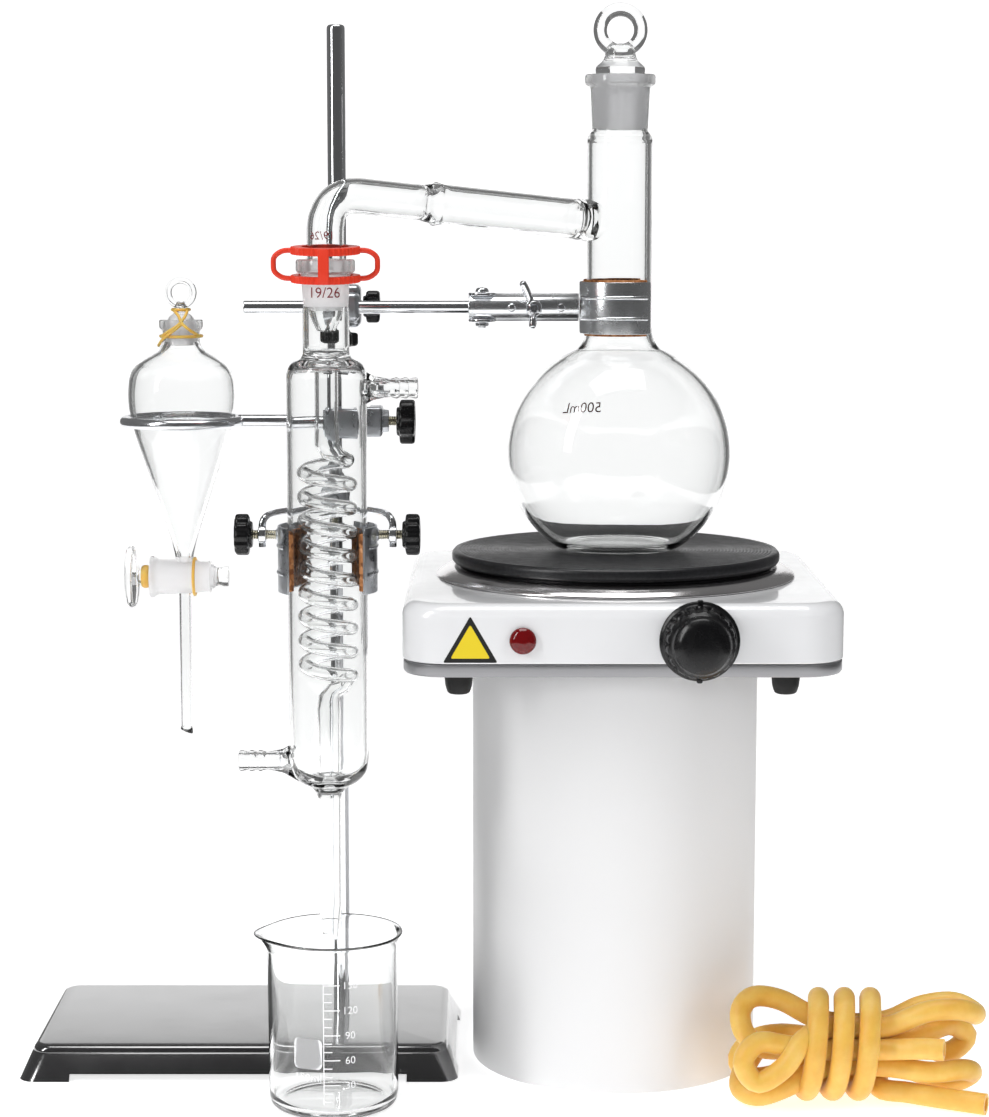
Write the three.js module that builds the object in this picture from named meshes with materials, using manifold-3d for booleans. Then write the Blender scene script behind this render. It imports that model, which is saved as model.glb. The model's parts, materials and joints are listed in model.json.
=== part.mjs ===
// Glass distilling apparatus: retort stand with ring, separating funnel, flask with side arm,
// coil condenser, clamps, beaker, electric hot plate on its plinth, and a hank of tubing.
// Millimetres, +Z up, front towards -Y, origin on the floor under the middle of the apparatus.
import * as THREE from 'three';
import { mergeVertices } from 'three/addons/utils/BufferGeometryUtils.js';
import Module from 'manifold-3d';

const wasm = await Module();
wasm.setup();

// ---------------------------------------------------------------- driving dimensions
const GAP = 0.3; // clearance between touching pieces
const ROD = { x: -74, y: 16, r: 4.3, top: 488 };
const BASE = { w: 205, d: 122, topW: 193, topD: 104, h: 14.5, sheet: 1.8, x: -45.5, y: -4, lift: 3 };
const FLASK = { x: 58, y: 0, foot: 244.3, centre: 289, r: 52.5, wall: 2, neckR: 15.1, rim: 464.4 };
const CONDENSER = { x: -74, y: -77, jacketR: 17.8, tip: 75.5, rim: 381.5 };
const COIL = { r: 10.5, wireR: 3.2, turns: 9, top: 293, bottom: 191, coreR: 5.35 };
const BEAKER = { x: -73, y: -77, r: 29.3, h: 80, wall: 1.6 };
const FUNNEL = { x: -148, y: 16, ringR: 27, wireR: 2.5, ringZ: 303, cockZ: 228.5 };
const ARM_Z = 357.4; // axis of the flask clamp's arm
const PIVOT_X = -5.8; // vertical pivot of the flask clamp's front finger
const WING_X = 18.3; // closing screw of the flask clamp
const CLAMP_Z = 260; // screws of the condenser clamp
const YOKE_Z = 268; // shank of the condenser clamp
const HOT = { x: 57, y: 0, w: 196, d: 200, corner: 20, bottom: 199.5, seam: 205.5, top: 231.7 };
const PLATE = { r: 77, top: 244, thickness: 6 };
const CONTROL = { knobX: 32.6, lampX: -44.6, z: 216 };
const PLINTH = { r: 67.3, h: 199.2, wall: 3 };
const HANK = { x: 165, y: -75, length: 118, depth: 50, height: 53 };
const ORIGIN = { x: -31, y: -6 }; // middle of the apparatus without the tubing

const MIDDLE = new THREE.Vector3();
const X_AXIS = new THREE.Vector3(1, 0, 0);
const Y_AXIS = new THREE.Vector3(0, 1, 0);
const Z_AXIS = new THREE.Vector3(0, 0, 1);

// ---------------------------------------------------------------- materials
const finish = (color, roughness, metalness) => ({ color, roughness, metalness });
const CHROME = finish(0xc9ccd1, 0.15, 1.0);
const STEEL = finish(0xa9adb2, 0.35, 1.0);
const BRASSED = finish(0xb9b39a, 0.35, 1.0);
const GLASS = finish(0xe6edf0, 0.05, 0.0);
const BLACK_PAINT = finish(0x0a0a0b, 0.2, 0.0);
const BLACK_PLASTIC = finish(0x141416, 0.45, 0.0);
const CORK = finish(0xb06a3c, 0.9, 0.0);
const RED_PLASTIC = finish(0xe8341f, 0.35, 0.0);
const AMBER_RUBBER = finish(0xe0a13c, 0.5, 0.0);
const WHITE_ENAMEL = finish(0xf3f3f4, 0.2, 0.0);
const IRON = finish(0x151517, 0.6, 0.4);
const RED_LENS = finish(0x7a0f12, 0.1, 0.0);
const WHITE_CARD = finish(0xf0f0f0, 0.6, 0.0);

// ---------------------------------------------------------------- solids
function solid(geometry) {
  const bare = geometry.clone();
  bare.deleteAttribute('normal');
  bare.deleteAttribute('uv');
  const merged = mergeVertices(bare, 1e-4);
  return new wasm.Manifold(
    new wasm.Mesh({
      numProp: 3,
      vertProperties: new Float32Array(merged.attributes.position.array),
      triVerts: new Uint32Array(merged.index.array),
    }),
  );
}

function join(...geometries) {
  return geometries.map(solid).reduce((a, b) => a.add(b));
}

function geometryOf(body) {
  const mesh = body.getMesh();
  const geometry = new THREE.BufferGeometry();
  geometry.setAttribute('position', new THREE.BufferAttribute(mesh.vertProperties, 3));
  geometry.setIndex(new THREE.BufferAttribute(mesh.triVerts, 1));
  geometry.computeVertexNormals();
  return geometry;
}

function cut(body, ...tools) {
  return tools.map(solid).reduce((a, b) => a.subtract(b), body);
}

function addPiece(group, name, shape, look) {
  const geometry = shape.isBufferGeometry ? shape : geometryOf(shape);
  const mesh = new THREE.Mesh(geometry, new THREE.MeshStandardMaterial(look));
  mesh.name = name;
  group.add(mesh);
  return mesh;
}

// A turned shape about +Z from [radius, height] pairs, which start and end on the axis
// or close on themselves.
function lathe(pairs, segments = 24) {
  const closed = pairs[0][0] > 0;
  const ring = closed ? [...pairs, pairs[0]] : pairs;
  let area = 0;
  ring.forEach(([r, z], i) => {
    const [r2, z2] = ring[(i + 1) % ring.length];
    area += r * z2 - r2 * z;
  });
  const points = ring.map(([r, z]) => new THREE.Vector2(r, z));
  if (area < 0) points.reverse();
  return new THREE.LatheGeometry(points, segments).rotateX(Math.PI / 2);
}

// The same shape turned about a line along +X or +Y through a point.
function latheAlong(axis, pairs, at, segments = 20) {
  const turned = lathe(pairs, segments);
  turned.applyQuaternion(new THREE.Quaternion().setFromUnitVectors(Z_AXIS, axis));
  return turned.translate(at.x, at.y, at.z);
}

function cylinder(from, to, radius, sides = 16) {
  const axis = to.clone().sub(from);
  const length = axis.length();
  const bar = new THREE.CylinderGeometry(radius, radius, length, sides).rotateX(Math.PI / 2);
  bar.applyQuaternion(new THREE.Quaternion().setFromUnitVectors(Z_AXIS, axis.normalize()));
  const middle = from.clone().add(to).multiplyScalar(0.5);
  return bar.translate(middle.x, middle.y, middle.z);
}

const at = (x, y, z) => new THREE.Vector3(x, y, z);

function box(x0, x1, y0, y1, z0, z1) {
  const block = new THREE.BoxGeometry(x1 - x0, y1 - y0, z1 - z0);
  return block.translate((x0 + x1) / 2, (y0 + y1) / 2, (z0 + z1) / 2);
}

function discShape(radius, sides) {
  const shape = new THREE.Shape();
  for (let i = 0; i < sides; i += 1) {
    const angle = (2 * Math.PI * i) / sides;
    const x = radius * Math.cos(angle);
    const y = radius * Math.sin(angle);
    if (i === 0) shape.moveTo(x, y);
    else shape.lineTo(x, y);
  }
  return shape;
}

// A tube of round section along a curve.
function tube(curve, radius, steps, sides = 12) {
  return new THREE.ExtrudeGeometry(discShape(radius, sides), {
    steps,
    extrudePath: curve,
    curveSegments: 1,
  });
}

function bend(points, radius, steps, sides = 8) {
  return tube(new THREE.CatmullRomCurve3(points, false, 'catmullrom', 0.5), radius, steps, sides);
}

function roundedRect(width, depth, corner, perCorner = 5) {
  const ring = [];
  const centres = [
    [width / 2 - corner, depth / 2 - corner, 0],
    [-width / 2 + corner, depth / 2 - corner, 1],
    [-width / 2 + corner, -depth / 2 + corner, 2],
    [width / 2 - corner, -depth / 2 + corner, 3],
  ];
  centres.forEach(([cx, cy, quarter]) => {
    for (let i = 0; i <= perCorner; i += 1) {
      const angle = ((quarter + i / perCorner) * Math.PI) / 2;
      ring.push([cx + corner * Math.cos(angle), cy + corner * Math.sin(angle)]);
    }
  });
  return ring;
}

// A solid through stacked rounded rectangles: each level is [width, depth, corner, height].
function loft(levels) {
  const rings = levels.map(([w, d, c]) => roundedRect(w, d, c));
  const count = rings[0].length;
  const positions = [];
  const index = [];
  levels.forEach((level, k) => rings[k].forEach(([x, y]) => positions.push(x, y, level[3])));
  for (let k = 0; k + 1 < levels.length; k += 1) {
    for (let i = 0; i < count; i += 1) {
      const next = (i + 1) % count;
      const low = k * count;
      const high = low + count;
      index.push(low + i, low + next, high + next, low + i, high + next, high + i);
    }
  }
  const last = (levels.length - 1) * count;
  for (let i = 1; i + 1 < count; i += 1) {
    index.push(0, i + 1, i);
    index.push(last, last + i, last + i + 1);
  }
  const geometry = new THREE.BufferGeometry();
  geometry.setAttribute('position', new THREE.Float32BufferAttribute(positions, 3));
  geometry.setIndex(index);
  return geometry;
}

// A curved plate about +Z between two radii, centred on one direction (degrees).
function arcPlate(inner, outer, middle, half, z0, z1, steps = 8) {
  const shape = new THREE.Shape();
  const point = (radius, degrees) => {
    const angle = (degrees * Math.PI) / 180;
    return [radius * Math.cos(angle), radius * Math.sin(angle)];
  };
  for (let i = 0; i <= steps; i += 1) {
    const [x, y] = point(outer, middle - half + (2 * half * i) / steps);
    if (i === 0) shape.moveTo(x, y);
    else shape.lineTo(x, y);
  }
  for (let i = steps; i >= 0; i -= 1) {
    shape.lineTo(...point(inner, middle - half + (2 * half * i) / steps));
  }
  const plate = new THREE.ExtrudeGeometry(shape, { depth: z1 - z0, bevelEnabled: false });
  return plate.translate(0, 0, z0);
}

// A lobed clamping knob with a blind hole for its screw, from the hole's mouth outwards.
function knob(direction, mouth, radius, thickness, screwR) {
  const lobes = 5;
  const sides = 20;
  const shape = new THREE.Shape();
  for (let i = 0; i < sides; i += 1) {
    const angle = (2 * Math.PI * i) / sides;
    const reach = radius * (0.92 + 0.08 * Math.cos(lobes * angle));
    const x = reach * Math.cos(angle);
    const y = reach * Math.sin(angle);
    if (i === 0) shape.moveTo(x, y);
    else shape.lineTo(x, y);
  }
  const grip = new THREE.ExtrudeGeometry(shape, { depth: thickness, bevelEnabled: false });
  const bore = cylinder(at(0, 0, -1), at(0, 0, thickness - 1.5), screwR + GAP, 12);
  const turned = geometryOf(cut(solid(grip), bore));
  turned.applyQuaternion(new THREE.Quaternion().setFromUnitVectors(Z_AXIS, direction));
  return turned.translate(mouth.x, mouth.y, mouth.z);
}

// A screw and its knob: the screw runs from its tip into the knob's blind hole.
function addThumbScrew(group, name, tip, direction, toKnob, screwR, knobR, knobT, look) {
  const end = tip.clone().addScaledVector(direction, toKnob + knobT - 2);
  addPiece(group, `${name}_screw`, cylinder(tip, end, screwR, 12), look);
  const mouth = tip.clone().addScaledVector(direction, toKnob);
  addPiece(group, `${name}_knob`, knob(direction, mouth, knobR, knobT, screwR), BLACK_PLASTIC);
}

const apparatus = new THREE.Group();
const groupAt = (x, y) => {
  const group = new THREE.Group();
  group.position.set(x - ORIGIN.x, y - ORIGIN.y, 0);
  apparatus.add(group);
  return group;
};

// ---------------------------------------------------------------- retort stand
const stand = groupAt(ROD.x, ROD.y);
{
  const lip = BASE.sheet;
  const shell = loft([
    [BASE.w, BASE.d, 8, 0],
    [BASE.topW + 1, BASE.topD + 1, 8, BASE.h - 2],
    [BASE.topW - 4, BASE.topD - 4, 6, BASE.h],
  ]);
  const hollow = loft([
    [BASE.w - 2 * lip + 0.9, BASE.d - 2 * lip + 1.4, 7, -0.9],
    [BASE.topW - 2 * lip, BASE.topD - 2 * lip, 7, BASE.h - lip],
  ]);
  const foot = 24;
  const body = cut(
    solid(shell),
    hollow,
    box(-BASE.w / 2 + foot, BASE.w / 2 - foot, -BASE.d, BASE.d, -1, BASE.lift),
    box(-BASE.w, BASE.w, -BASE.d / 2 + foot, BASE.d / 2 - foot, -1, BASE.lift),
    cylinder(at(-BASE.x, -BASE.y, 5), at(-BASE.x, -BASE.y, 20), ROD.r + GAP, 20),
  );
  addPiece(stand, 'stand_base', geometryOf(body).translate(BASE.x, BASE.y, 0), BLACK_PAINT);
  const bar = [[0, 3.2], [4, 3.2], [ROD.r, 3.6], [ROD.r, ROD.top - 2.6], [3.3, ROD.top - 0.7], [0, ROD.top]];
  addPiece(stand, 'stand_rod', lathe(bar, 16), CHROME);
  const nut = cylinder(at(0, 0, 5), at(0, 0, BASE.h - lip - 0.5), 7.5, 6);
  const bore = cylinder(at(0, 0, 4), at(0, 0, 14), ROD.r + GAP, 20);
  addPiece(stand, 'rod_nut', cut(solid(nut), bore), STEEL);
}

// ---------------------------------------------------------------- ring support
{
  const z = FUNNEL.ringZ;
  const reach = FUNNEL.x - ROD.x;
  const seat = ROD.r + GAP;
  const frame = box(-9, 21, -9, 9, z - 7, z + 7);
  const arm = cylinder(at(-8, 0, z), at(reach + FUNNEL.ringR - 0.6, 0, z), 3, 12);
  const ring = new THREE.TorusGeometry(FUNNEL.ringR, FUNNEL.wireR, 6, 24).translate(reach, 0, z);
  const body = cut(
    solid(frame),
    box(-seat, 15, -seat, 10, z - 8, z + 8),
    cylinder(at(10, 0, z), at(24, 0, z), 2.4 + GAP, 12),
  );
  addPiece(stand, 'ring_support', body.add(join(arm, ring)), STEEL);
  addThumbScrew(stand, 'ring_clamp', at(seat, 0, z), X_AXIS, 23, 2.4, 11, 9, BRASSED);
}

// ---------------------------------------------------------------- separating funnel
const funnel = groupAt(FUNNEL.x, FUNNEL.y);
{
  const z = FUNNEL.cockZ;
  const bowl = lathe([
    [0, 231], [4.1, 231], [4.3, 239], [6, 246], [22.6, 297.5], [23.8, 303], [25.2, 309], [25.6, 316], [24.8, 324],
    [22.6, 329], [15.6, 333.6], [10, 337], [8.75, 340], [8.75, 346], [10, 347.2], [10, 351],
    [6.7, 351], [6.7, 338.5], [9, 335.6], [14.6, 332], [21, 327.6], [23.2, 323.4], [24, 316], [23.6, 308.5],
    [22.2, 303], [21.2, 298], [4.4, 246], [2.6, 240], [0, 240],
  ], 18);
  const stem = cylinder(at(0, 0, 153), at(0, 0, z), 2.9, 12);
  const barrel = latheAlong(X_AXIS, [
    [0, -16.2], [10, -16.2], [10, -15], [8.3, -13], [8.1, 2], [7.1, 10], [7.6, 12.6], [0, 12.6],
  ], at(0, 0, z), 16);
  const body = cut(
    join(bowl, stem, barrel),
    cylinder(at(-20, 0, z), at(20, 0, z), 6.2, 16),
    cylinder(at(0, 0, 150), at(0, 0, z), 1.6, 10),
    cylinder(at(0, 0, z), at(0, 0, 243), 1.8, 10),
    box(-6, 6, -6, 6, 140, 153).rotateY(0.5).translate(73, 0, 19),
  );
  addPiece(funnel, 'funnel_body', body, GLASS);

  const plug = lathe([
    [0, 339.5], [5.9, 339.5], [6.3, 351], [6.3, 352.4], [3, 354], [3, 358.2], [0, 358.2],
  ], 14);
  const loop = new THREE.TorusGeometry(5.9, 1.5, 6, 16).rotateX(Math.PI / 2).translate(0, 0, 363.6);
  addPiece(funnel, 'funnel_stopper', join(plug, loop), GLASS);

  const lower = new THREE.TorusGeometry(9.9, 0.7, 5, 16).translate(0, 0, 343);
  const upper = new THREE.TorusGeometry(4.2, 0.7, 5, 12).translate(0, 0, 355.6);
  const strand = (side) =>
    bend([at(side * 9.9, 0, 343), at(side * 11.4, 0, 347), at(side * 11.2, 0, 351.5), at(side * 4.1, 0, 355.6)], 0.7, 6, 5);
  addPiece(funnel, 'stopper_band', join(lower, upper, strand(1), strand(-1)), AMBER_RUBBER);

  const paddle = new THREE.SphereGeometry(1, 14, 9).scale(3.7, 8, 15).translate(-24.7, 0, z);
  const core = latheAlong(X_AXIS, [
    [0, -23], [3.4, -23], [3.4, -16], [5.9, -16], [5.9, 14.2], [4.9, 14.8], [4.2, 17], [4.9, 19], [4.9, 21], [0, 21],
  ], at(0, 0, z), 12);
  const crossHole = cylinder(at(0, 0, z - 9), at(0, 0, z + 9), 1.4, 10);
  addPiece(funnel, 'stopcock_plug', cut(join(paddle, core), crossHole), GLASS);
  const washer = latheAlong(X_AXIS, [
    [3.8, -20.6], [5.2, -20.6], [5.6, -18.6], [5.2, -16.6], [3.8, -16.6],
  ], at(0, 0, z), 14);
  addPiece(funnel, 'stopcock_ring', washer, AMBER_RUBBER);
  const band = new THREE.TorusGeometry(8.95, 0.6, 5, 16).rotateY(Math.PI / 2).translate(4.9, 0, z);
  addPiece(funnel, 'stopcock_band', band, AMBER_RUBBER);
}

// ---------------------------------------------------------------- upper boss head
{
  const z = ARM_Z;
  const armY = FLASK.y - ROD.y;
  const casting = join(
    box(-9, 11, -8, 9, z - 10, z + 10),
    box(-9, 11, armY - 6.5, -7, z - 6.5, z + 6.5),
  );
  const body = cut(
    casting,
    cylinder(at(0, 0, z - 12), at(0, 0, z + 12), ROD.r + GAP, 20),
    cylinder(at(-12, armY, z), at(14, armY, z), 3 + GAP, 16),
    cylinder(at(3, 0, z), at(14, 0, z), 2.3 + GAP, 12),
    cylinder(at(0, armY, z - 9), at(0, armY, z), 2.3 + GAP, 12),
  );
  addPiece(stand, 'upper_boss_head', body, STEEL);
  addThumbScrew(stand, 'upper_boss_rod', at(ROD.r + GAP, 0, z), X_AXIS, 7.5, 2.3, 8, 8, BRASSED);
  const down = Z_AXIS.clone().negate();
  addThumbScrew(stand, 'upper_boss_arm', at(0, armY, z - 3 - GAP), down, 7.2, 2.3, 10.5, 8, BRASSED);
}

// ---------------------------------------------------------------- flask clamp
const clamp = groupAt(0, 0);
{
  const z = ARM_Z;
  const neckX = FLASK.x;
  const half = 12; // half height of the jaw plates
  const opening = cylinder(at(neckX, 0, z - 20), at(neckX, 0, z + 20), 17.9, 24);
  const pinHole = cylinder(at(PIVOT_X, 0, z - 12), at(PIVOT_X, 0, z + 12), 1.6 + GAP, 12);
  const arm = cylinder(at(-117, 0, z), at(2, 0, z), 3, 16);
  addPiece(clamp, 'flask_clamp_arm', cut(solid(arm), pinHole), CHROME);

  const rearPlate = arcPlate(17.9, 19.2, 103, 60, z - half, z + half).translate(neckX, 0, 0);
  const rear = cut(
    solid(box(-13, 44, -0.5, 6.2, z - 5.2, z + 5.2)),
    box(-14, 45, -1, 5, z - 4, z + 4),
    opening,
  )
    .add(solid(box(-13, 1, -2.6, 0, z + 4, z + 5.2)))
    .add(solid(box(-13, 1, -2.6, 0, z - 5.2, z - 4)))
    .add(solid(rearPlate));
  const screwHole = cylinder(at(WING_X, -20, z), at(WING_X, 20, z), 1.7 + GAP, 12);
  addPiece(clamp, 'flask_clamp_body', cut(rear, pinHole, screwHole), CHROME);

  const frontPlate = arcPlate(17.9, 19.2, 257, 60, z - half, z + half).translate(neckX, 0, 0);
  const front = cut(
    solid(box(-12, 44, -6.2, -0.9, z - 5.2, z + 5.2)),
    box(-13, 45, -5, 0, z - 4, z + 4),
    box(-13, 2, -5, 0, z - 6, z + 6),
    opening,
  )
    .add(solid(box(-12, 1, -6.2, -5, z - 6.7, z + 6.7)))
    .add(solid(box(-12, 1, -5.2, 3, z + 5.5, z + 6.7)))
    .add(solid(box(-12, 1, -5.2, 3, z - 6.7, z - 5.5)))
    .add(solid(frontPlate));
  const slot = box(WING_X - 2.2, WING_X + 4.4, -8, -4, z - 2.1, z + 2.1);
  addPiece(clamp, 'flask_clamp_front_jaw', cut(front, pinHole, slot), CHROME);

  const rearCork = arcPlate(15.4, 17.6, 102, 57, z - half - 1, z + half + 1);
  addPiece(clamp, 'rear_jaw_cork', rearCork.translate(neckX, 0, 0), CORK);
  const frontCork = arcPlate(15.4, 17.6, 258, 57, z - half - 1, z + half + 1);
  addPiece(clamp, 'front_jaw_cork', frontCork.translate(neckX, 0, 0), CORK);

  const pin = lathe([[0, -9.4], [3, -9.4], [3, -7.1], [1.6, -7.1], [1.6, 7.1], [3, 7.1], [2, 9], [0, 9]], 12);
  addPiece(clamp, 'flask_clamp_pivot_pin', pin.translate(PIVOT_X, 0, z), STEEL);

  const bolt = join(
    cylinder(at(WING_X, 7, z), at(WING_X, -13, z), 1.7, 12),
    cylinder(at(WING_X, 6.5, z), at(WING_X, 8.7, z), 3.4, 6),
  );
  addPiece(clamp, 'flask_clamp_bolt', bolt, STEEL);
  const wing = (x, dz) => cylinder(at(WING_X, -9, z), at(WING_X + x, -9, z + dz), 1.3, 8);
  const nut = cut(
    join(
      new THREE.SphereGeometry(4, 12, 8).translate(WING_X, -10.8, z),
      cylinder(at(WING_X, -6.5, z), at(WING_X, -10, z), 3.2, 12),
      wing(-5.6, 12.2),
      wing(-0.8, -8.8),
    ),
    cylinder(at(WING_X, -5, z), at(WING_X, -13.3, z), 1.7 + GAP, 12),
  );
  addPiece(clamp, 'flask_clamp_wing_nut', nut, CHROME);
}

// ---------------------------------------------------------------- distilling flask
const flask = groupAt(FLASK.x, FLASK.y);
const armDirection = at(CONDENSER.x - FLASK.x, CONDENSER.y - FLASK.y, 0);
const armRun = armDirection.length();
armDirection.normalize();
{
  const onSphere = (radius, degrees) => {
    const angle = (degrees * Math.PI) / 180;
    return [radius * Math.cos(angle), FLASK.centre + radius * Math.sin(angle)];
  };
  const outer = [-58, -42, -25, -8, 9, 26, 43, 61].map((a) => onSphere(FLASK.r, a));
  const inner = [61, 43, 26, 9, -8, -25, -42, -54].map((a) => onSphere(FLASK.r - FLASK.wall, a));
  const body = lathe([
    [0, FLASK.foot], ...outer, [17.2, 339], [FLASK.neckR, 345], [FLASK.neckR, 436.6],
    [12.7, 438.4], [13.8, 458.6], [16.4, 460.2], [16.4, FLASK.rim], [11.3, FLASK.rim], [11.3, 438],
    [13.1, 435], [13.1, 345], [15, 340], ...inner, [25, 247], [0, 247],
  ], 20);
  const along = (run, z) => armDirection.clone().multiplyScalar(run).setZ(z);
  const path = new THREE.CurvePath();
  path.add(new THREE.LineCurve3(along(5, 396.5), along(136, 408.8)));
  path.add(new THREE.QuadraticBezierCurve3(along(136, 408.8), along(armRun, 410.4), along(armRun, 393)));
  path.add(new THREE.LineCurve3(along(armRun, 393), along(armRun, 350)));
  const bore = new THREE.CurvePath();
  bore.add(path.curves[0]);
  bore.add(path.curves[1]);
  bore.add(new THREE.LineCurve3(along(armRun, 393), along(armRun, 348)));
  const hollow = lathe([[0, 300], [13.1, 300], [13.1, 430], [0, 430]], 20);
  const glass = join(body, tube(path, 8.1, 26, 10))
    .subtract(solid(hollow))
    .subtract(solid(tube(bore, 6.4, 26, 10)));
  addPiece(flask, 'distilling_flask', glass, GLASS);

  const plug = lathe([
    [0, 440], [10.4, 440], [10.9, 464.6], [11.4, 465.6], [11.5, 467.5], [6.9, 471.5], [6.5, 477], [0, 477],
  ], 18);
  const loop = new THREE.TorusGeometry(9.35, 3.15, 7, 20).rotateX(Math.PI / 2).translate(0, 0, 484.5);
  addPiece(flask, 'flask_stopper', join(plug, loop), GLASS);
}

// ---------------------------------------------------------------- coil condenser
const condenser = groupAt(CONDENSER.x, CONDENSER.y);
{
  const r = CONDENSER.jacketR;
  const envelope = lathe([
    [0, CONDENSER.tip], [3, CONDENSER.tip], [5.5, 91.6], [5.5, 143.5], [8.5, 146.4], [13.4, 148.6],
    [16.8, 153], [r, 159], [r, 331.5], [15.8, 336], [11.2, 338], [10.25, 339.5], [10.25, 359], [9.8, 360],
    [10.5, 375], [12.9, 376.2], [12.9, CONDENSER.rim], [0, CONDENSER.rim],
  ], 20);
  const barb = (side, z) =>
    latheAlong(X_AXIS.clone().multiplyScalar(side), [
      [0, 14], [4.5, 14], [4.2, 28], [4.9, 31], [4.2, 31.4], [4.9, 35.4], [4.2, 35.8], [4.7, 40.4], [0, 40.4],
    ], at(0, 0, z), 10);
  const water = lathe([
    [0, 150.5], [11, 151.5], [15, 155], [r - 1.6, 160], [r - 1.6, 331], [14.2, 334.2], [0, 334.6],
  ], 20);
  const throat = lathe([[0, 341.5], [8.6, 341.5], [8.6, 360], [9.4, 378], [9.4, 385], [0, 385]], 20);
  const body = cut(
    join(envelope, barb(1, 325), barb(-1, 158)),
    water,
    throat,
    cylinder(at(0, 0, 70), at(0, 0, 147), 2.2, 12),
    cylinder(at(10, 0, 325), at(44, 0, 325), 2.7, 12),
    cylinder(at(-10, 0, 158), at(-44, 0, 158), 2.7, 12),
  );
  addPiece(condenser, 'condenser_jacket', body, GLASS);

  class CoilCurve extends THREE.Curve {
    getPoint(t) {
      const lead = 0.04;
      const swell = Math.min(1, t / lead, (1 - t) / lead);
      const radius = COIL.r * Math.sin((Math.PI / 2) * swell);
      const angle = 2 * Math.PI * (COIL.turns + 0.5) * t;
      const z = COIL.top + 5 + (COIL.bottom - COIL.top - 10) * t;
      return new THREE.Vector3(radius * Math.cos(angle), radius * Math.sin(angle), z);
    }
  }
  const coil = join(
    tube(new CoilCurve(), COIL.wireR, 96, 5),
    cylinder(at(0, 0, 296), at(0, 0, 331.8), COIL.coreR, 10),
    cylinder(at(0, 0, 151.5), at(0, 0, 188), COIL.coreR, 10),
  );
  addPiece(condenser, 'condenser_coil', coil, GLASS);

  const hoop = (z0, z1, inner) => lathe([[inner, z0], [15, z0], [15, z1], [inner, z1]], 20);
  const handle = (side) =>
    bend([
      at(side * 13, 0, 385.2), at(side * 20, 0, 385), at(side * 24.2, 0, 382), at(side * 24.2, 0, 376),
      at(side * 20, 0, 373), at(side * 13, 0, 373),
    ], 1.4, 10, 6);
  const strut = box(-2.5, 2.5, -15.2, -13.4, 371.3, 387);
  const clip = join(hoop(383.5, 387, 8.6), hoop(371.3, 374.7, 11), handle(1), handle(-1), strut);
  addPiece(condenser, 'joint_clip', clip, RED_PLASTIC);
}

// ---------------------------------------------------------------- condenser clamp
{
  const z = CLAMP_Z;
  const legX = 29.5;
  const rodY = ROD.y - CONDENSER.y;
  const lobe = (side) =>
    bend([at(0, 36, YOKE_Z), at(side * 12, 31, YOKE_Z), at(side * 25, 16, YOKE_Z), at(side * legX, 2, YOKE_Z - 2)], 2.2, 8, 6);
  const leg = (side) => cylinder(at(side * legX, 0.6, YOKE_Z - 1), at(side * legX, 0.6, z - 6), 2.2, 6);
  const eye = (side) => cylinder(at(side * 27.4, 0, z), at(side * 32, 0, z), 4.2, 12);
  const shank = cylinder(at(0, 34, YOKE_Z), at(0, rodY - 10, YOKE_Z), 3, 12);
  const yoke = cut(
    join(shank, lobe(1), lobe(-1), leg(1), leg(-1), eye(1), eye(-1)),
    cylinder(at(-40, 0, z), at(-24, 0, z), 2.2 + GAP, 12),
    cylinder(at(24, 0, z), at(40, 0, z), 2.2 + GAP, 12),
  );
  addPiece(condenser, 'condenser_clamp_yoke', yoke, STEEL);

  const addJaw = (name, side) => {
    const middle = side > 0 ? 8 : 172; // the jaws reach further round the back
    addPiece(condenser, `${name}_jaw`, arcPlate(20.9, 22.3, middle, 47, 235, 264, 8), STEEL);
    addPiece(condenser, `${name}_jaw_cork`, arcPlate(18.1, 20.6, middle, 45, 236.5, 260.5, 8), CORK);
    const out = X_AXIS.clone().multiplyScalar(side);
    addThumbScrew(condenser, `${name}_jaw`, at(side * 22.6, 0, z), out, 10.6, 2.2, 9.2, 8, BRASSED);
  };
  addJaw('left', -1);
  addJaw('right', 1);

  const socketEnd = rodY - 9.5;
  const boss = cut(
    solid(box(-10, 10, rodY - 27, rodY + 10, YOKE_Z - 9, YOKE_Z + 9)),
    cylinder(at(0, rodY, YOKE_Z - 12), at(0, rodY, YOKE_Z + 12), ROD.r + GAP, 20),
    cylinder(at(0, rodY - 30, YOKE_Z), at(0, socketEnd, YOKE_Z), 3 + GAP, 16),
    cylinder(at(0, rodY, YOKE_Z), at(0, rodY + 14, YOKE_Z), 2.3 + GAP, 12),
    cylinder(at(0, rodY - 19, YOKE_Z - 12), at(0, rodY - 19, YOKE_Z), 2.3 + GAP, 12),
  );
  addPiece(condenser, 'lower_boss_head', boss, STEEL);
  const rodTip = at(0, rodY + ROD.r + GAP, YOKE_Z);
  addThumbScrew(condenser, 'lower_boss_rod', rodTip, Y_AXIS, 8, 2.3, 10.5, 8, BRASSED);
  const armTip = at(0, rodY - 19, YOKE_Z - 3 - GAP);
  const down = Z_AXIS.clone().negate();
  addThumbScrew(condenser, 'lower_boss_arm', armTip, down, 8, 2.3, 10.5, 8, BRASSED);
}

// ---------------------------------------------------------------- beaker
{
  const beaker = groupAt(BEAKER.x, BEAKER.y);
  const { r, h, wall } = BEAKER;
  const cup = lathe([
    [0, 0], [r - 4, 0], [r - 1, 1.2], [r, 4], [r, h - 4], [r + 0.5, h - 1.6], [r + 1.8, h - 0.6], [r + 1.4, h],
    [r - 1.4, h - 1.4], [r - wall, h - 4.5], [r - wall, 5], [r - wall - 3, 2.4], [0, 2.4],
  ], 24);
  addPiece(beaker, 'beaker', cup, GLASS);
}

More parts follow.
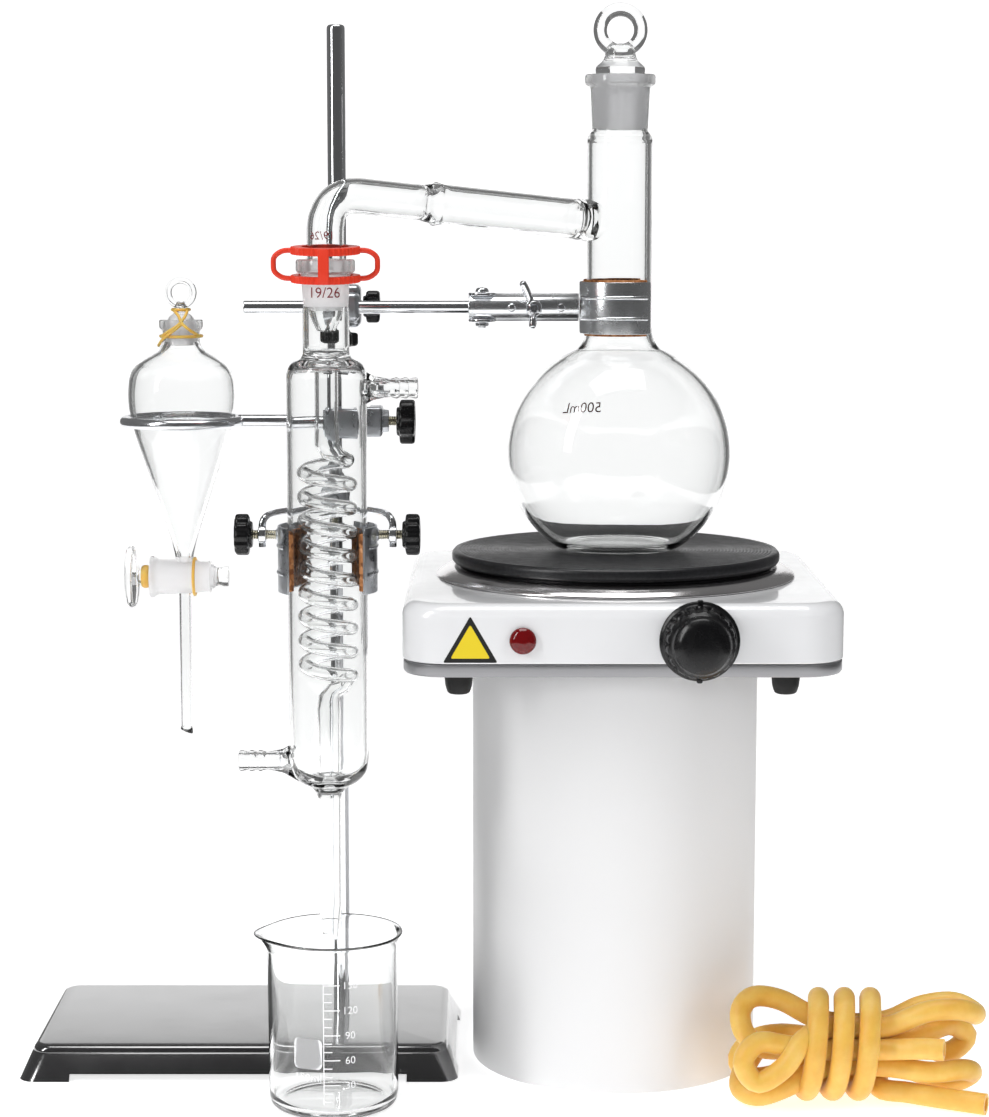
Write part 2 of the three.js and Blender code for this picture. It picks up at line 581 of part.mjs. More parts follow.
// ---------------------------------------------------------------- hot plate
const hot = groupAt(HOT.x, HOT.y);
{
  const { w, d, corner, bottom, seam, top } = HOT;
  const front = -d / 2;
  const { knobX, lampX, z } = CONTROL;
  const shell = cut(
    solid(loft([
      [w, d, corner, seam], [w, d, corner, top - 5], [w - 1.6, d - 1.6, corner - 1, top - 2],
      [w - 7, d - 7, corner - 3.5, top],
    ])),
    loft([[w - 4, d - 4, corner - 2, seam - 2], [w - 4, d - 4, corner - 2, top - 5], [w - 9, d - 9, corner - 4, top - 2.2]]),
    cylinder(at(0, 0, top - 6), at(0, 0, top + 4), 76.5, 30),
    cylinder(at(knobX, front - 2, z), at(knobX, front + 8, z), 3.4, 12),
    cylinder(at(lampX, front - 2, z), at(lampX, front + 8, z), 5.2, 16),
    cylinder(at(60, -front - 8, z), at(60, -front + 2, z), 4.4, 14),
  );
  addPiece(hot, 'hotplate_shell', shell, WHITE_ENAMEL);
  const pan = cut(
    solid(loft([[w - 3, d - 3, corner - 2, bottom], [w - 1, d - 1, corner - 1, bottom + 1.2], [w - 1, d - 1, corner - 1, seam - GAP]])),
    loft([[w - 6, d - 6, corner - 3, bottom + 1.5], [w - 6, d - 6, corner - 3, seam + 1]]),
  );
  addPiece(hot, 'hotplate_bottom', pan, STEEL);
  const dripRing = lathe([
    [73.6, top - 9], [75.4, top - 9], [75.8, top + GAP], [84, top + GAP], [83.2, top + 1.8], [79.5, top + 4.2],
    [76.2, top + 5], [73.6, top + 4.6],
  ], 30);
  addPiece(hot, 'drip_ring', dripRing, CHROME);
  const plate = lathe([
    [0, 225], [64, 225], [72.4, 231], [72.4, PLATE.top - PLATE.thickness - 0.6], [75.6, PLATE.top - PLATE.thickness],
    [PLATE.r, PLATE.top - 4.6], [PLATE.r, PLATE.top - 1], [PLATE.r - 1, PLATE.top], [0, PLATE.top],
  ], 30);
  addPiece(hot, 'heating_plate', plate, IRON);
  const control = join(
    box(knobX - 12, knobX + 12, front + 3, front + 22, 207.5, 224.5),
    cylinder(at(knobX, front + 5, z), at(knobX, front - 14, z), 3, 12),
  );
  addPiece(hot, 'thermostat', control, STEEL);
  const dial = latheAlong(Y_AXIS.clone().negate(), [
    [0, 0.6], [17.7, 0.6], [17.7, 2.4], [15.6, 4], [15.2, 14], [13.4, 15.6], [12.5, 17.6], [9, 20.4], [0, 21],
  ], at(knobX, front, z), 20);
  const pointer = box(knobX - 1.4, knobX + 1.4, front - 4, front - 1, z + 15, z + 20.4);
  const shaftHole = cylinder(at(knobX, front + 1, z), at(knobX, front - 14.4, z), 3 + GAP, 12);
  addPiece(hot, 'heat_knob', cut(join(dial, pointer), shaftHole), BLACK_PLASTIC);
  const lamp = latheAlong(Y_AXIS.clone().negate(), [
    [0, -7], [4.8, -7], [4.8, 0.4], [6.2, 0.4], [6.2, 1.6], [4.8, 3], [2.4, 4], [0, 4.2],
  ], at(lampX, front, z), 14);
  addPiece(hot, 'pilot_lamp', lamp, RED_LENS);
  const gland = latheAlong(Y_AXIS, [
    [0, -7], [4, -7], [4, 0.4], [7, 0.4], [7, 3], [5, 9], [0, 9],
  ], at(60, -front, z), 12);
  addPiece(hot, 'cord_gland', gland, BLACK_PLASTIC);
  const foot = () => lathe([[0, 188.4], [5.2, 188.4], [6.7, bottom - GAP], [0, bottom - GAP]], 12);
  const corners = { front_left: [-73, -76], front_right: [73, -76], rear_left: [-73, 76], rear_right: [73, 76] };
  Object.entries(corners).forEach(([name, [x, y]]) => {
    addPiece(hot, `foot_${name}`, foot(), BLACK_PLASTIC).position.set(x, y, 0);
  });
  const { r, h, wall } = PLINTH;
  const drum = lathe([
    [r - wall, 0], [r - 0.8, 0], [r, 0.8], [r, h - 0.8], [r - 0.8, h], [0, h], [0, h - wall], [r - wall, h - wall],
  ], 32);
  addPiece(hot, 'plinth', drum, WHITE_CARD);
}

// ---------------------------------------------------------------- hank of tubing
{
  const tubing = groupAt(HANK.x, HANK.y);
  const bevel = 8;
  const end = HANK.depth / 2 - bevel;
  const straight = HANK.length / 2 - HANK.depth / 2;
  const outline = new THREE.Shape();
  outline.moveTo(-straight, -end);
  outline.lineTo(straight, -end);
  outline.absarc(straight, 0, end, -Math.PI / 2, Math.PI / 2, false);
  outline.lineTo(-straight, end);
  outline.absarc(-straight, 0, end, Math.PI / 2, (3 * Math.PI) / 2, false);
  const hank = new THREE.ExtrudeGeometry(outline, {
    depth: HANK.height - 2 * bevel,
    bevelThickness: bevel,
    bevelSize: bevel,
    bevelSegments: 2,
    curveSegments: 6,
  });
  addPiece(tubing, 'water_hose', hank.translate(0, 0, bevel), AMBER_RUBBER);
}

export default apparatus;
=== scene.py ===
import json
import math

import bmesh
import bpy
from mathutils import Matrix, Vector


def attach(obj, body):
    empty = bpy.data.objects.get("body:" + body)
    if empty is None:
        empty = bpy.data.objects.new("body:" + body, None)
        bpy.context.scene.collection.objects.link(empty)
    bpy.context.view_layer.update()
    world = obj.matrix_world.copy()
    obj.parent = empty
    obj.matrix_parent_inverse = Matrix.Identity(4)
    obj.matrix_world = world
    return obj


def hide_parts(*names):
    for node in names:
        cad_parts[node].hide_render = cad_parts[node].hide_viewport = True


# Looks of the distilling apparatus. Lengths are in millimetres and turned into metres in build_mesh.

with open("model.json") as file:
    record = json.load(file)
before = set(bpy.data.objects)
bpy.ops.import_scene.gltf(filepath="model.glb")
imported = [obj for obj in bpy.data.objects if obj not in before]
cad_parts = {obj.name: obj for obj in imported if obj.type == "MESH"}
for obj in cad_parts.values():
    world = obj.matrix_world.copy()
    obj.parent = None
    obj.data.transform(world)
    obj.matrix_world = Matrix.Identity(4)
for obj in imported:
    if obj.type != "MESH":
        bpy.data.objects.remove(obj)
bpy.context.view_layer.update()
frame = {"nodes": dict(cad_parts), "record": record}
MM = 0.001
FINE = 72  # segments of a turned glass piece

ROD = (-43.0, 22.0)
FUNNEL = (-117.0, 22.0)
FLASK = (89.0, 6.0)
CONDENSER = (-43.0, -71.0)
BEAKER = (-42.0, -71.0)
HOT = (88.0, 6.0)
ARM_Z = 357.4
COCK_Z = 228.5
CLAMP_Z = 260.0
YOKE_Z = 268.0
RING_Z = 303.0
HOSE_D = 9.7


# ---------------------------------------------------------------- camera, light and backdrop
def aim_camera():
    data = bpy.data.cameras.new("camera")
    data.sensor_fit = "AUTO"
    data.sensor_width = 36.0
    data.lens = 89.8
    data.clip_end = 20.0
    data.shift_y = -0.001
    camera = bpy.data.objects.new("camera", data)
    camera.location = (0.031, -1.297, 0.409)
    camera.rotation_euler = (math.radians(90.0 - 7.4), 0.0, 0.0)
    bpy.context.scene.collection.objects.link(camera)
    bpy.context.scene.camera = camera


def area_light(name, location, target, size, power, mirrored=True):
    data = bpy.data.lights.new(name, "AREA")
    data.shape = "RECTANGLE"
    data.size, data.size_y = size
    data.energy = power
    light = bpy.data.objects.new(name, data)
    light.location = location
    direction = Vector(target) - Vector(location)
    light.rotation_euler = direction.to_track_quat("-Z", "Y").to_euler()
    light.visible_glossy = mirrored
    light.visible_transmission = False
    bpy.context.scene.collection.objects.link(light)


def build_world():
    """Dark at the sides and behind the camera, so that glass and chrome show dark edges on the white."""
    world = bpy.data.worlds.new("studio")
    bpy.context.scene.world = world
    world.use_nodes = True
    tree = world.node_tree
    background = tree.nodes["Background"]
    background.inputs["Color"].default_value = (1.0, 1.0, 1.0, 1.0)
    coords = tree.nodes.new("ShaderNodeTexCoord")
    split = tree.nodes.new("ShaderNodeSeparateXYZ")
    fade = tree.nodes.new("ShaderNodeMapRange")
    fade.interpolation_type = "SMOOTHSTEP"
    fade.inputs["From Min"].default_value = -0.9
    fade.inputs["From Max"].default_value = 0.75
    fade.inputs["To Min"].default_value = 0.085
    fade.inputs["To Max"].default_value = 0.16
    tree.links.new(coords.outputs["Generated"], split.inputs[0])
    tree.links.new(split.outputs["Y"], fade.inputs["Value"])
    tree.links.new(fade.outputs["Result"], background.inputs["Strength"])


aim_camera()
build_world()
area_light("key_left", (-1.15, -0.85, 1.0), (0.0, 0.0, 0.22), (0.26, 1.3), 11.5)
area_light("key_right", (1.2, -0.7, 0.9), (0.0, 0.0, 0.22), (0.3, 1.3), 5.0, False)
area_light("overhead", (0.05, -0.1, 1.7), (0.03, 0.0, 0.2), (1.1, 0.7), 11.0)
area_light("fill", (0.1, -2.6, 0.95), (0.03, 0.0, 0.2), (1.0, 0.5), 12.5, False)
view = bpy.context.scene.view_settings
view.view_transform = "Standard"
cycles = bpy.context.scene.cycles
cycles.max_bounces = 26
cycles.transmission_bounces = 24
cycles.glossy_bounces = 8
cycles.transparent_max_bounces = 16


# ---------------------------------------------------------------- materials
def new_material(name, **inputs):
    material = bpy.data.materials.new(name)
    material.use_nodes = True
    shader = material.node_tree.nodes["Principled BSDF"]
    for key, value in inputs.items():
        socket = shader.inputs[key.replace("_", " ")]
        socket.default_value = (*value, 1.0) if isinstance(value, tuple) and len(value) == 3 else value
    return material


def shader_of(material):
    return material.node_tree.nodes["Principled BSDF"]


def add_node(material, kind, **inputs):
    node = material.node_tree.nodes.new(kind)
    for key, value in inputs.items():
        node.inputs[key.replace("_", " ")].default_value = value
    return node


def object_coords(material, scale=(1.0, 1.0, 1.0)):
    tree = material.node_tree
    coords = tree.nodes.new("ShaderNodeTexCoord")
    mapping = tree.nodes.new("ShaderNodeMapping")
    mapping.inputs["Scale"].default_value = scale
    tree.links.new(coords.outputs["Object"], mapping.inputs["Vector"])
    return mapping.outputs["Vector"]


def add_noise(material, scale, detail=4.0, stretch=(1.0, 1.0, 1.0)):
    noise = add_node(material, "ShaderNodeTexNoise", Scale=scale, Detail=detail, Roughness=0.6)
    material.node_tree.links.new(object_coords(material, stretch), noise.inputs["Vector"])
    return noise.outputs["Fac"]


def add_bump(material, height, strength, distance):
    tree = material.node_tree
    bump = add_node(material, "ShaderNodeBump", Strength=strength, Distance=distance)
    tree.links.new(height, bump.inputs["Height"])
    old = shader_of(material).inputs["Normal"]
    if old.is_linked:
        tree.links.new(old.links[0].from_socket, bump.inputs["Normal"])
    tree.links.new(bump.outputs["Normal"], old)


def map_value(material, value, low, high, start=0.3, end=0.7):
    node = add_node(material, "ShaderNodeMapRange", From_Min=start, From_Max=end, To_Min=low, To_Max=high)
    material.node_tree.links.new(value, node.inputs["Value"])
    return node.outputs["Result"]


def vary_roughness(material, scale, low, high, stretch=(1.0, 1.0, 1.0)):
    result = map_value(material, add_noise(material, scale, 5.0, stretch), low, high)
    material.node_tree.links.new(result, shader_of(material).inputs["Roughness"])


def vary_colour(material, factor, colours):
    ramp = material.node_tree.nodes.new("ShaderNodeValToRGB")
    ramp.color_ramp.elements[0].position = colours[0][0]
    ramp.color_ramp.elements[0].color = (*colours[0][1], 1.0)
    ramp.color_ramp.elements[1].position = colours[-1][0]
    ramp.color_ramp.elements[1].color = (*colours[-1][1], 1.0)
    for position, colour in colours[1:-1]:
        element = ramp.color_ramp.elements.new(position)
        element.color = (*colour, 1.0)
    material.node_tree.links.new(factor, ramp.inputs["Fac"])
    material.node_tree.links.new(ramp.outputs["Color"], shader_of(material).inputs["Base Color"])


def glass_material(name, tint, waviness):
    material = new_material(
        name, Base_Color=tint, Roughness=0.0, IOR=1.47, Transmission_Weight=1.0, Specular_IOR_Level=0.5
    )
    add_bump(material, add_noise(material, 38.0, 2.0), waviness, 0.002)
    return material


def frosted_material(name, colour, roughness, painted_glow):
    # The white emission is painted light: the ground glass glows though it is no lamp.
    material = new_material(
        name, Base_Color=colour, Roughness=roughness, IOR=1.3, Transmission_Weight=0.72,
        Emission_Strength=painted_glow,
        Emission_Color=(1.0, 1.0, 1.0),
    )
    add_bump(material, add_noise(material, 2600.0, 3.0), 0.25, 0.0002)
    return material


def metal_material(name, colour, low, high, grain, stretch=(1.0, 1.0, 1.0), bump=0.05):
    material = new_material(name, Base_Color=colour, Metallic=1.0)
    vary_roughness(material, grain, low, high, stretch)
    add_bump(material, add_noise(material, grain * 1.7, 4.0, stretch), bump, 0.0003)
    return material


def plastic_material(name, colour, low, high, bump):
    material = new_material(name, Base_Color=colour, Coat_Weight=0.12, Coat_Roughness=0.2,
            Specular_IOR_Level=0.32)
    vary_roughness(material, 220.0, low, high)
    add_bump(material, add_noise(material, 1400.0, 3.0), bump, 0.0002)
    return material


GLASS = glass_material("clear_glass", (0.995, 1.0, 0.998), 0.025)
COIL_GLASS = glass_material("coil_glass", (0.995, 0.998, 0.997), 0.03)
# The last number is the painted glow of each ground glass: white emission standing in for light.
FROSTED = frosted_material("ground_glass", (0.94, 0.935, 0.94), 0.5, 0.1)
SOFT_FROST = frosted_material("fine_ground_glass", (0.94, 0.94, 0.95), 0.34, 0.05)
CHROME = metal_material("chrome", (0.86, 0.87, 0.89), 0.05, 0.12, 60.0)
BRIGHT_STEEL = metal_material("bright_plated_steel", (0.8, 0.81, 0.83), 0.12, 0.28, 90.0, bump=0.1)
SATIN_CHROME = metal_material("satin_chrome", (0.87, 0.885, 0.9), 0.2, 0.3, 70.0, bump=0.05)
CAST_ZINC = metal_material("cast_zinc", (0.62, 0.64, 0.67), 0.22, 0.42, 160.0, bump=0.35)
YELLOW_STEEL = metal_material("passivated_steel", (0.74, 0.71, 0.6), 0.18, 0.34, 300.0, bump=0.1)
BRUSHED_BAND = metal_material("brushed_band", (0.3, 0.3, 0.31), 0.24, 0.42, 40.0, (0.15, 0.15, 9.0), 0.12)
DISH = metal_material("drip_ring_metal", (0.8, 0.78, 0.78), 0.12, 0.22, 24.0, (1.0, 1.0, 1.0), 0.04)
BLACK_PLASTIC = plastic_material("black_plastic", (0.004, 0.004, 0.0045), 0.2, 0.34, 0.12)
BLACK_RUBBER = plastic_material("black_rubber", (0.004, 0.004, 0.004), 0.42, 0.6, 0.2)
RED_PLASTIC = plastic_material("red_plastic", (0.83, 0.055, 0.025), 0.3, 0.42, 0.1)
BLACK_ENAMEL = new_material(
    "black_gloss_paint", Base_Color=(0.004, 0.004, 0.005), IOR=2.1, Coat_Weight=1.0, Coat_Roughness=0.09,
    Coat_IOR=2.1
)
vary_roughness(BLACK_ENAMEL, 30.0, 0.14, 0.24)
add_bump(BLACK_ENAMEL, add_noise(BLACK_ENAMEL, 420.0, 2.0), 0.04, 0.0003)
WHITE_ENAMEL = new_material("white_enamel", Base_Color=(0.88, 0.885, 0.9), Coat_Weight=0.8,
        Coat_Roughness=0.05)
vary_roughness(WHITE_ENAMEL, 40.0, 0.16, 0.26)
add_bump(WHITE_ENAMEL, add_noise(WHITE_ENAMEL, 300.0, 2.0), 0.03, 0.0003)
RED_LENS = new_material(
    "red_lens", Base_Color=(0.2, 0.004, 0.006), Roughness=0.06, Transmission_Weight=0.25, IOR=1.49
)
add_bump(RED_LENS, add_noise(RED_LENS, 500.0, 1.0), 0.2, 0.0003)
WHITE_BOARD = new_material("white_board", Base_Color=(0.86, 0.86, 0.865))
vary_roughness(WHITE_BOARD, 50.0, 0.42, 0.55)
add_bump(WHITE_BOARD, add_noise(WHITE_BOARD, 900.0, 3.0), 0.05, 0.0002)
RED_PRINT = new_material("dark_red_print", Base_Color=(0.2, 0.02, 0.025))
vary_roughness(RED_PRINT, 900.0, 0.45, 0.65)
BLACK_PRINT = new_material("black_print", Base_Color=(0.01, 0.01, 0.01))
vary_roughness(BLACK_PRINT, 700.0, 0.3, 0.45)
YELLOW_PRINT = new_material("yellow_print", Base_Color=(0.86, 0.66, 0.02))
vary_roughness(YELLOW_PRINT, 700.0, 0.3, 0.45)
WHITE_PRINT = new_material("white_print", Base_Color=(0.93, 0.93, 0.94))
vary_roughness(WHITE_PRINT, 900.0, 0.5, 0.7)


def iron_material():
    material = new_material("cast_iron", Metallic=0.2, Specular_IOR_Level=0.6)
    speckle = add_noise(material, 700.0, 6.0)
    vary_colour(material, speckle, [(0.3, (0.006, 0.006, 0.007)), (0.75, (0.022, 0.022, 0.025))])
    vary_roughness(material, 240.0, 0.3, 0.42)
    add_bump(material, speckle, 0.12, 0.0002)
    return material


def cork_material():
    material = new_material("cork", Specular_IOR_Level=0.25)
    tree = material.node_tree
    grains = add_node(material, "ShaderNodeTexVoronoi", Scale=620.0)
    tree.links.new(object_coords(material), grains.inputs["Vector"])
    split = tree.nodes.new("ShaderNodeSeparateColor")
    tree.links.new(grains.outputs["Color"], split.inputs[0])
    colours = [(0.0, (0.13, 0.045, 0.018)), (0.35, (0.4, 0.16, 0.06)), (0.7, (0.55, 0.24, 0.1)),
            (1.0, (0.68, 0.36, 0.18))]
    vary_colour(material, split.outputs["Red"], colours)
    vary_roughness(material, 400.0, 0.75, 0.95)
    add_bump(material, grains.outputs["Distance"], 0.5, 0.0005)
    add_bump(material, add_noise(material, 1500.0, 4.0), 0.3, 0.0003)
    return material


def latex_material():
    material = new_material(
        "amber_latex", Subsurface_Weight=0.35, Subsurface_Scale=0.004, IOR=1.5, Sheen_Weight=0.12,
        Coat_Weight=0.1,
        Coat_Roughness=0.35,
    )
    shader_of(material).inputs["Subsurface Radius"].default_value = (1.0, 0.45, 0.12)
    # The middle amber is the latex's own colour. The noise spreads it between a shaded and a lit tone, which
    # is painted shade and painted light scattered at random.
    lit_and_shaded_cloud = add_noise(material, 55.0, 4.0)
    colours = [(0.28, (0.8, 0.42, 0.06)), (0.5, (0.88, 0.52, 0.1)), (0.72, (0.93, 0.61, 0.16))]
    vary_colour(material, lit_and_shaded_cloud, colours)
    vary_roughness(material, 150.0, 0.36, 0.52)
    add_bump(material, add_noise(material, 1100.0, 4.0), 0.14, 0.0003)
    return material


IRON = iron_material()
CORK = cork_material()
LATEX = latex_material()


# ---------------------------------------------------------------- mesh tools
def build_mesh(name, verts, faces, material, sharp=35.0, at=(0.0, 0.0, 0.0), matrix=None):
    move = Matrix.Translation(Vector(at)) @ (matrix or Matrix.Identity(4))
    points = [(move @ Vector(v)) * MM for v in verts]
    mesh = bpy.data.meshes.new(name)
    mesh.from_pydata(points, [], faces)
    shell = bmesh.new()
    shell.from_mesh(mesh)
    bmesh.ops.remove_doubles(shell, verts=shell.verts, dist=2e-7)
    bmesh.ops.recalc_face_normals(shell, faces=shell.faces)
    mark_sharp(shell, sharp)
    shell.to_mesh(mesh)
    shell.free()
    mesh.materials.append(material)
    obj = bpy.data.objects.new(name, mesh)
    bpy.context.scene.collection.objects.link(obj)
    return obj


def mark_sharp(shell, degrees):
    limit = math.radians(degrees)
    for face in shell.faces:
        face.smooth = True
    for edge in shell.edges:
        edge.smooth = len(edge.link_faces) != 2 or edge.calc_face_angle(0.0) < limit


def resmooth(obj, degrees=35.0):
    shell = bmesh.new()
    shell.from_mesh(obj.data)
    mark_sharp(shell, degrees)
    shell.to_mesh(obj.data)
    shell.free()


def combine(base, others, operation):
    for other in others:
        modifier = base.modifiers.new("join", "BOOLEAN")
        modifier.object = other
        modifier.operation = operation
        modifier.solver = "EXACT"
        graph = bpy.context.evaluated_depsgraph_get()
        mesh = bpy.data.meshes.new_from_object(base.evaluated_get(graph))
        base.modifiers.clear()
        base.data = mesh
        bpy.data.objects.remove(other)
    resmooth(base)
    return base


def merge(base, *others):
    """Puts other meshes into base as they are, with their own materials."""
    shell = bmesh.new()
    for obj in (base, *others):
        part = bmesh.new()
        part.from_mesh(obj.data)
        for material in obj.data.materials:
            if material.name not in base.data.materials:
                base.data.materials.append(material)
        table = [list(base.data.materials).index(m) for m in obj.data.materials]
        for face in part.faces:
            face.material_index = table[face.material_index]
        holder = bpy.data.meshes.new("part")
        part.to_mesh(holder)
        part.free()
        shell.from_mesh(holder)
        bpy.data.meshes.remove(holder)
    shell.to_mesh(base.data)
    shell.free()
    for obj in others:
        bpy.data.objects.remove(obj)
    return base


def paint(obj, material, test):
    """Gives the faces whose middle (in millimetres) passes the test another material."""
    obj.data.materials.append(material)
    index = len(obj.data.materials) - 1
    for face in obj.data.polygons:
        if test(face.center / MM):
            face.material_index = index
    return obj


def put(obj, *nodes):
    """Rides obj on the body of the first node it stands for and hides the nodes."""
    record = frame["record"]
    bodies = record["behaviour"]["bodies"]
    body = next(name for name, members in bodies.items() if nodes[0] in members)
    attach(obj, body)
    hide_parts(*nodes)
    return obj


def rounded(points, steps=5):
    """Rounds a profile's corners: each point is (r, z) or (r, z, fillet)."""
    result = []
    for i, point in enumerate(points):
        here = Vector(point[:2])
        fillet = point[2] if len(point) > 2 else 0.0
        if fillet <= 0.0 or i in (0, len(points) - 1):
            result.append(tuple(here))
            continue
        back = Vector(points[i - 1][:2]) - here
        ahead = Vector(points[i + 1][:2]) - here
        reach = min(fillet, 0.48 * back.length, 0.48 * ahead.length)
        start = here + back.normalized() * reach
        end = here + ahead.normalized() * reach
        for k in range(steps + 1):
            t = k / steps
            result.append(tuple(start * (1 - t) ** 2 + here * (2 * t * (1 - t)) + end * t ** 2))
    return result


def arc(radius, centre_z, start, end, steps):
    """Points of a circle about (0, centre_z), from one angle to another in degrees."""
    angles = [math.radians(start + (end - start) * k / steps) for k in range(steps + 1)]
    return [(radius * math.cos(a), centre_z + radius * math.sin(a)) for a in angles]


def revolve(name, profile, material, at=(0.0, 0.0, 0.0), axis=(0, 0, 1), segments=None, wave=None,
        sharp=35.0):
    """Turns (r, z) pairs about an axis. The profile starts and ends on the axis or closes on itself."""
    segments = segments or FINE
    closed = profile[0][0] > 1e-6
    verts = []
    faces = []
    rings = []
    for r, z in profile:
        if r <= 1e-6:
            verts.append((0.0, 0.0, z))
            rings.append([len(verts) - 1] * segments)
            continue
        ring = []
        for k in range(segments):
            angle = 2 * math.pi * k / segments
            reach = r if wave is None else wave(r, z, angle)
            verts.append((reach * math.cos(angle), reach * math.sin(angle), z))
            ring.append(len(verts) - 1)
        rings.append(ring)
    pairs = list(zip(rings, rings[1:]))
    if closed:
        pairs.append((rings[-1], rings[0]))
    for low, high in pairs:
        for k in range(segments):
            n = (k + 1) % segments
            corners = [low[k], low[n], high[n], high[k]]
            face = [c for i, c in enumerate(corners) if c not in corners[:i]]
            if len(face) > 2:
                faces.append(face)
    turn = Vector((0, 0, 1)).rotation_difference(Vector(axis)).to_matrix().to_4x4()
    return build_mesh(name, verts, faces, material, sharp, at, turn)


def frames_along(points):
    """A moving pair of cross directions for each point of a path, without twist."""
    points = [Vector(p) for p in points]
    tangents = []
    for i in range(len(points)):
        ahead = points[min(i + 1, len(points) - 1)]
        back = points[max(i - 1, 0)]
        tangents.append((ahead - back).normalized())
    helper = Vector((0, 0, 1)) if abs(tangents[0].z) < 0.9 else Vector((1, 0, 0))
    side = tangents[0].cross(helper).normalized()
    result = []
    for i, tangent in enumerate(tangents):
        if i:
            side = tangents[i - 1].rotation_difference(tangent) @ side
        side = (side - tangent * side.dot(tangent)).normalized()
        result.append((points[i], side, tangent.cross(side)))
    return result


def sweep(name, points, radius, material, sides=24, bore=None, loop=False, at=(0.0, 0.0, 0.0), sharp=50.0):
    """A round tube along points. radius may be a list. bore hollows it and leaves both ends open."""
    count = len(points)
    radii = radius if isinstance(radius, (list, tuple)) else [radius] * count
    places = frames_along(points)
    verts = []
    faces = []

    def add_ring(place, reach):
        centre, side, up = place
        start = len(verts)
        for k in range(sides):
            angle = 2 * math.pi * k / sides
            verts.append(centre + side * (reach * math.cos(angle)) + up * (reach * math.sin(angle)))
        return list(range(start, start + sides))

    def skin(low, high):
        for k in range(sides):
            n = (k + 1) % sides
            faces.append((low[k], low[n], high[n], high[k]))

    outer = [add_ring(places[i], radii[i]) for i in range(count)]
    for low, high in zip(outer, outer[1:]):
        skin(low, high)
    if loop:
        skin(outer[-1], outer[0])
    elif bore is None:
        faces.append(tuple(reversed(outer[0])))
        faces.append(tuple(outer[-1]))
    else:
        bores = bore if isinstance(bore, (list, tuple)) else [bore] * count
        inner = [add_ring(places[i], bores[i]) for i in range(count)]
        for low, high in zip(inner, inner[1:]):
            skin(high, low)
        skin(inner[0], outer[0])
        skin(outer[-1], inner[-1])
    return build_mesh(name, verts, faces, material, sharp, at)


def smooth_path(points, spacing, closed=False):
    """Catmull-Rom points through the given ones, evenly spaced."""
    points = [Vector(p) for p in points]
    fine = []
    count = len(points)
    spans = count if closed else count - 1
    for i in range(spans):
        if closed:
            p0, p1, p2, p3 = (points[(i + k) % count] for k in (-1, 0, 1, 2))
        else:
            p0, p1 = points[max(i - 1, 0)], points[i]
            p2, p3 = points[i + 1], points[min(i + 2, count - 1)]
        for k in range(12):
            t = k / 12
            a = 2 * p1
            b = p2 - p0
            c = 2 * p0 - 5 * p1 + 4 * p2 - p3
            d = -p0 + 3 * p1 - 3 * p2 + p3
            fine.append(0.5 * (a + b * t + c * t * t + d * t ** 3))
    if not closed:
        fine.append(points[-1])
    return even_path(fine, spacing)


def even_path(fine, spacing):
    lengths = [0.0]
    for a, b in zip(fine, fine[1:]):
        lengths.append(lengths[-1] + (b - a).length)
    steps = max(2, round(lengths[-1] / spacing))
    result = []
    j = 0
    for k in range(steps + 1):
        want = lengths[-1] * k / steps
        while j < len(fine) - 2 and lengths[j + 1] < want:
            j += 1
        span = max(1e-9, lengths[j + 1] - lengths[j])
        result.append(fine[j].lerp(fine[j + 1], min(1.0, (want - lengths[j]) / span)))
    return result


def slab(name, size, centre, material, bevel=0.6, at=(0.0, 0.0, 0.0), matrix=None):
    """A block with rounded edges."""
    shell = bmesh.new()
    bmesh.ops.create_cube(shell, size=1.0)
    bmesh.ops.scale(shell, vec=Vector(size), verts=shell.verts)
    if bevel > 0:
        bmesh.ops.bevel(shell, geom=list(shell.edges), offset=bevel, segments=3, affect="EDGES", profile=0.5)
    verts = [v.co + Vector(centre) for v in shell.verts]
    faces = [[v.index for v in f.verts] for f in shell.faces]
    shell.free()
    return build_mesh(name, verts, faces, material, 40.0, at, matrix)


def plate(name, outline, depth, material, bevel=0.4, at=(0.0, 0.0, 0.0), matrix=None):
    """An outline in the XY plane, raised by depth, with rounded edges."""
    shell = bmesh.new()
    ring = [shell.verts.new((x, y, 0.0)) for x, y in outline]
    base = shell.faces.new(ring)
    lifted = bmesh.ops.extrude_face_region(shell, geom=[base])
    tops = [v for v in lifted["geom"] if isinstance(v, bmesh.types.BMVert)]
    bmesh.ops.translate(shell, vec=(0, 0, depth), verts=tops)
    bmesh.ops.recalc_face_normals(shell, faces=shell.faces)
    if bevel > 0:
        flat = [e for e in shell.edges if abs(e.verts[0].co.z - e.verts[1].co.z) < 1e-6]
        bmesh.ops.bevel(shell, geom=flat, offset=bevel, segments=3, affect="EDGES", profile=0.5,
                clamp_overlap=True)
    shell.verts.index_update()
    verts = [v.co.copy() for v in shell.verts]
    faces = [[v.index for v in f.verts] for f in shell.faces]
    shell.free()
    return build_mesh(name, verts, faces, material, 40.0, at, matrix)


def rounded_rect(width, depth, corner, steps=12):
    ring = []
    centres = [(1, 1, 0), (-1, 1, 1), (-1, -1, 2), (1, -1, 3)]
    for sx, sy, quarter in centres:
        cx = sx * (width / 2 - corner)
        cy = sy * (depth / 2 - corner)
        for k in range(steps + 1):
            angle = (quarter + k / steps) * math.pi / 2
            ring.append((cx + corner * math.cos(angle), cy + corner * math.sin(angle)))
    return ring


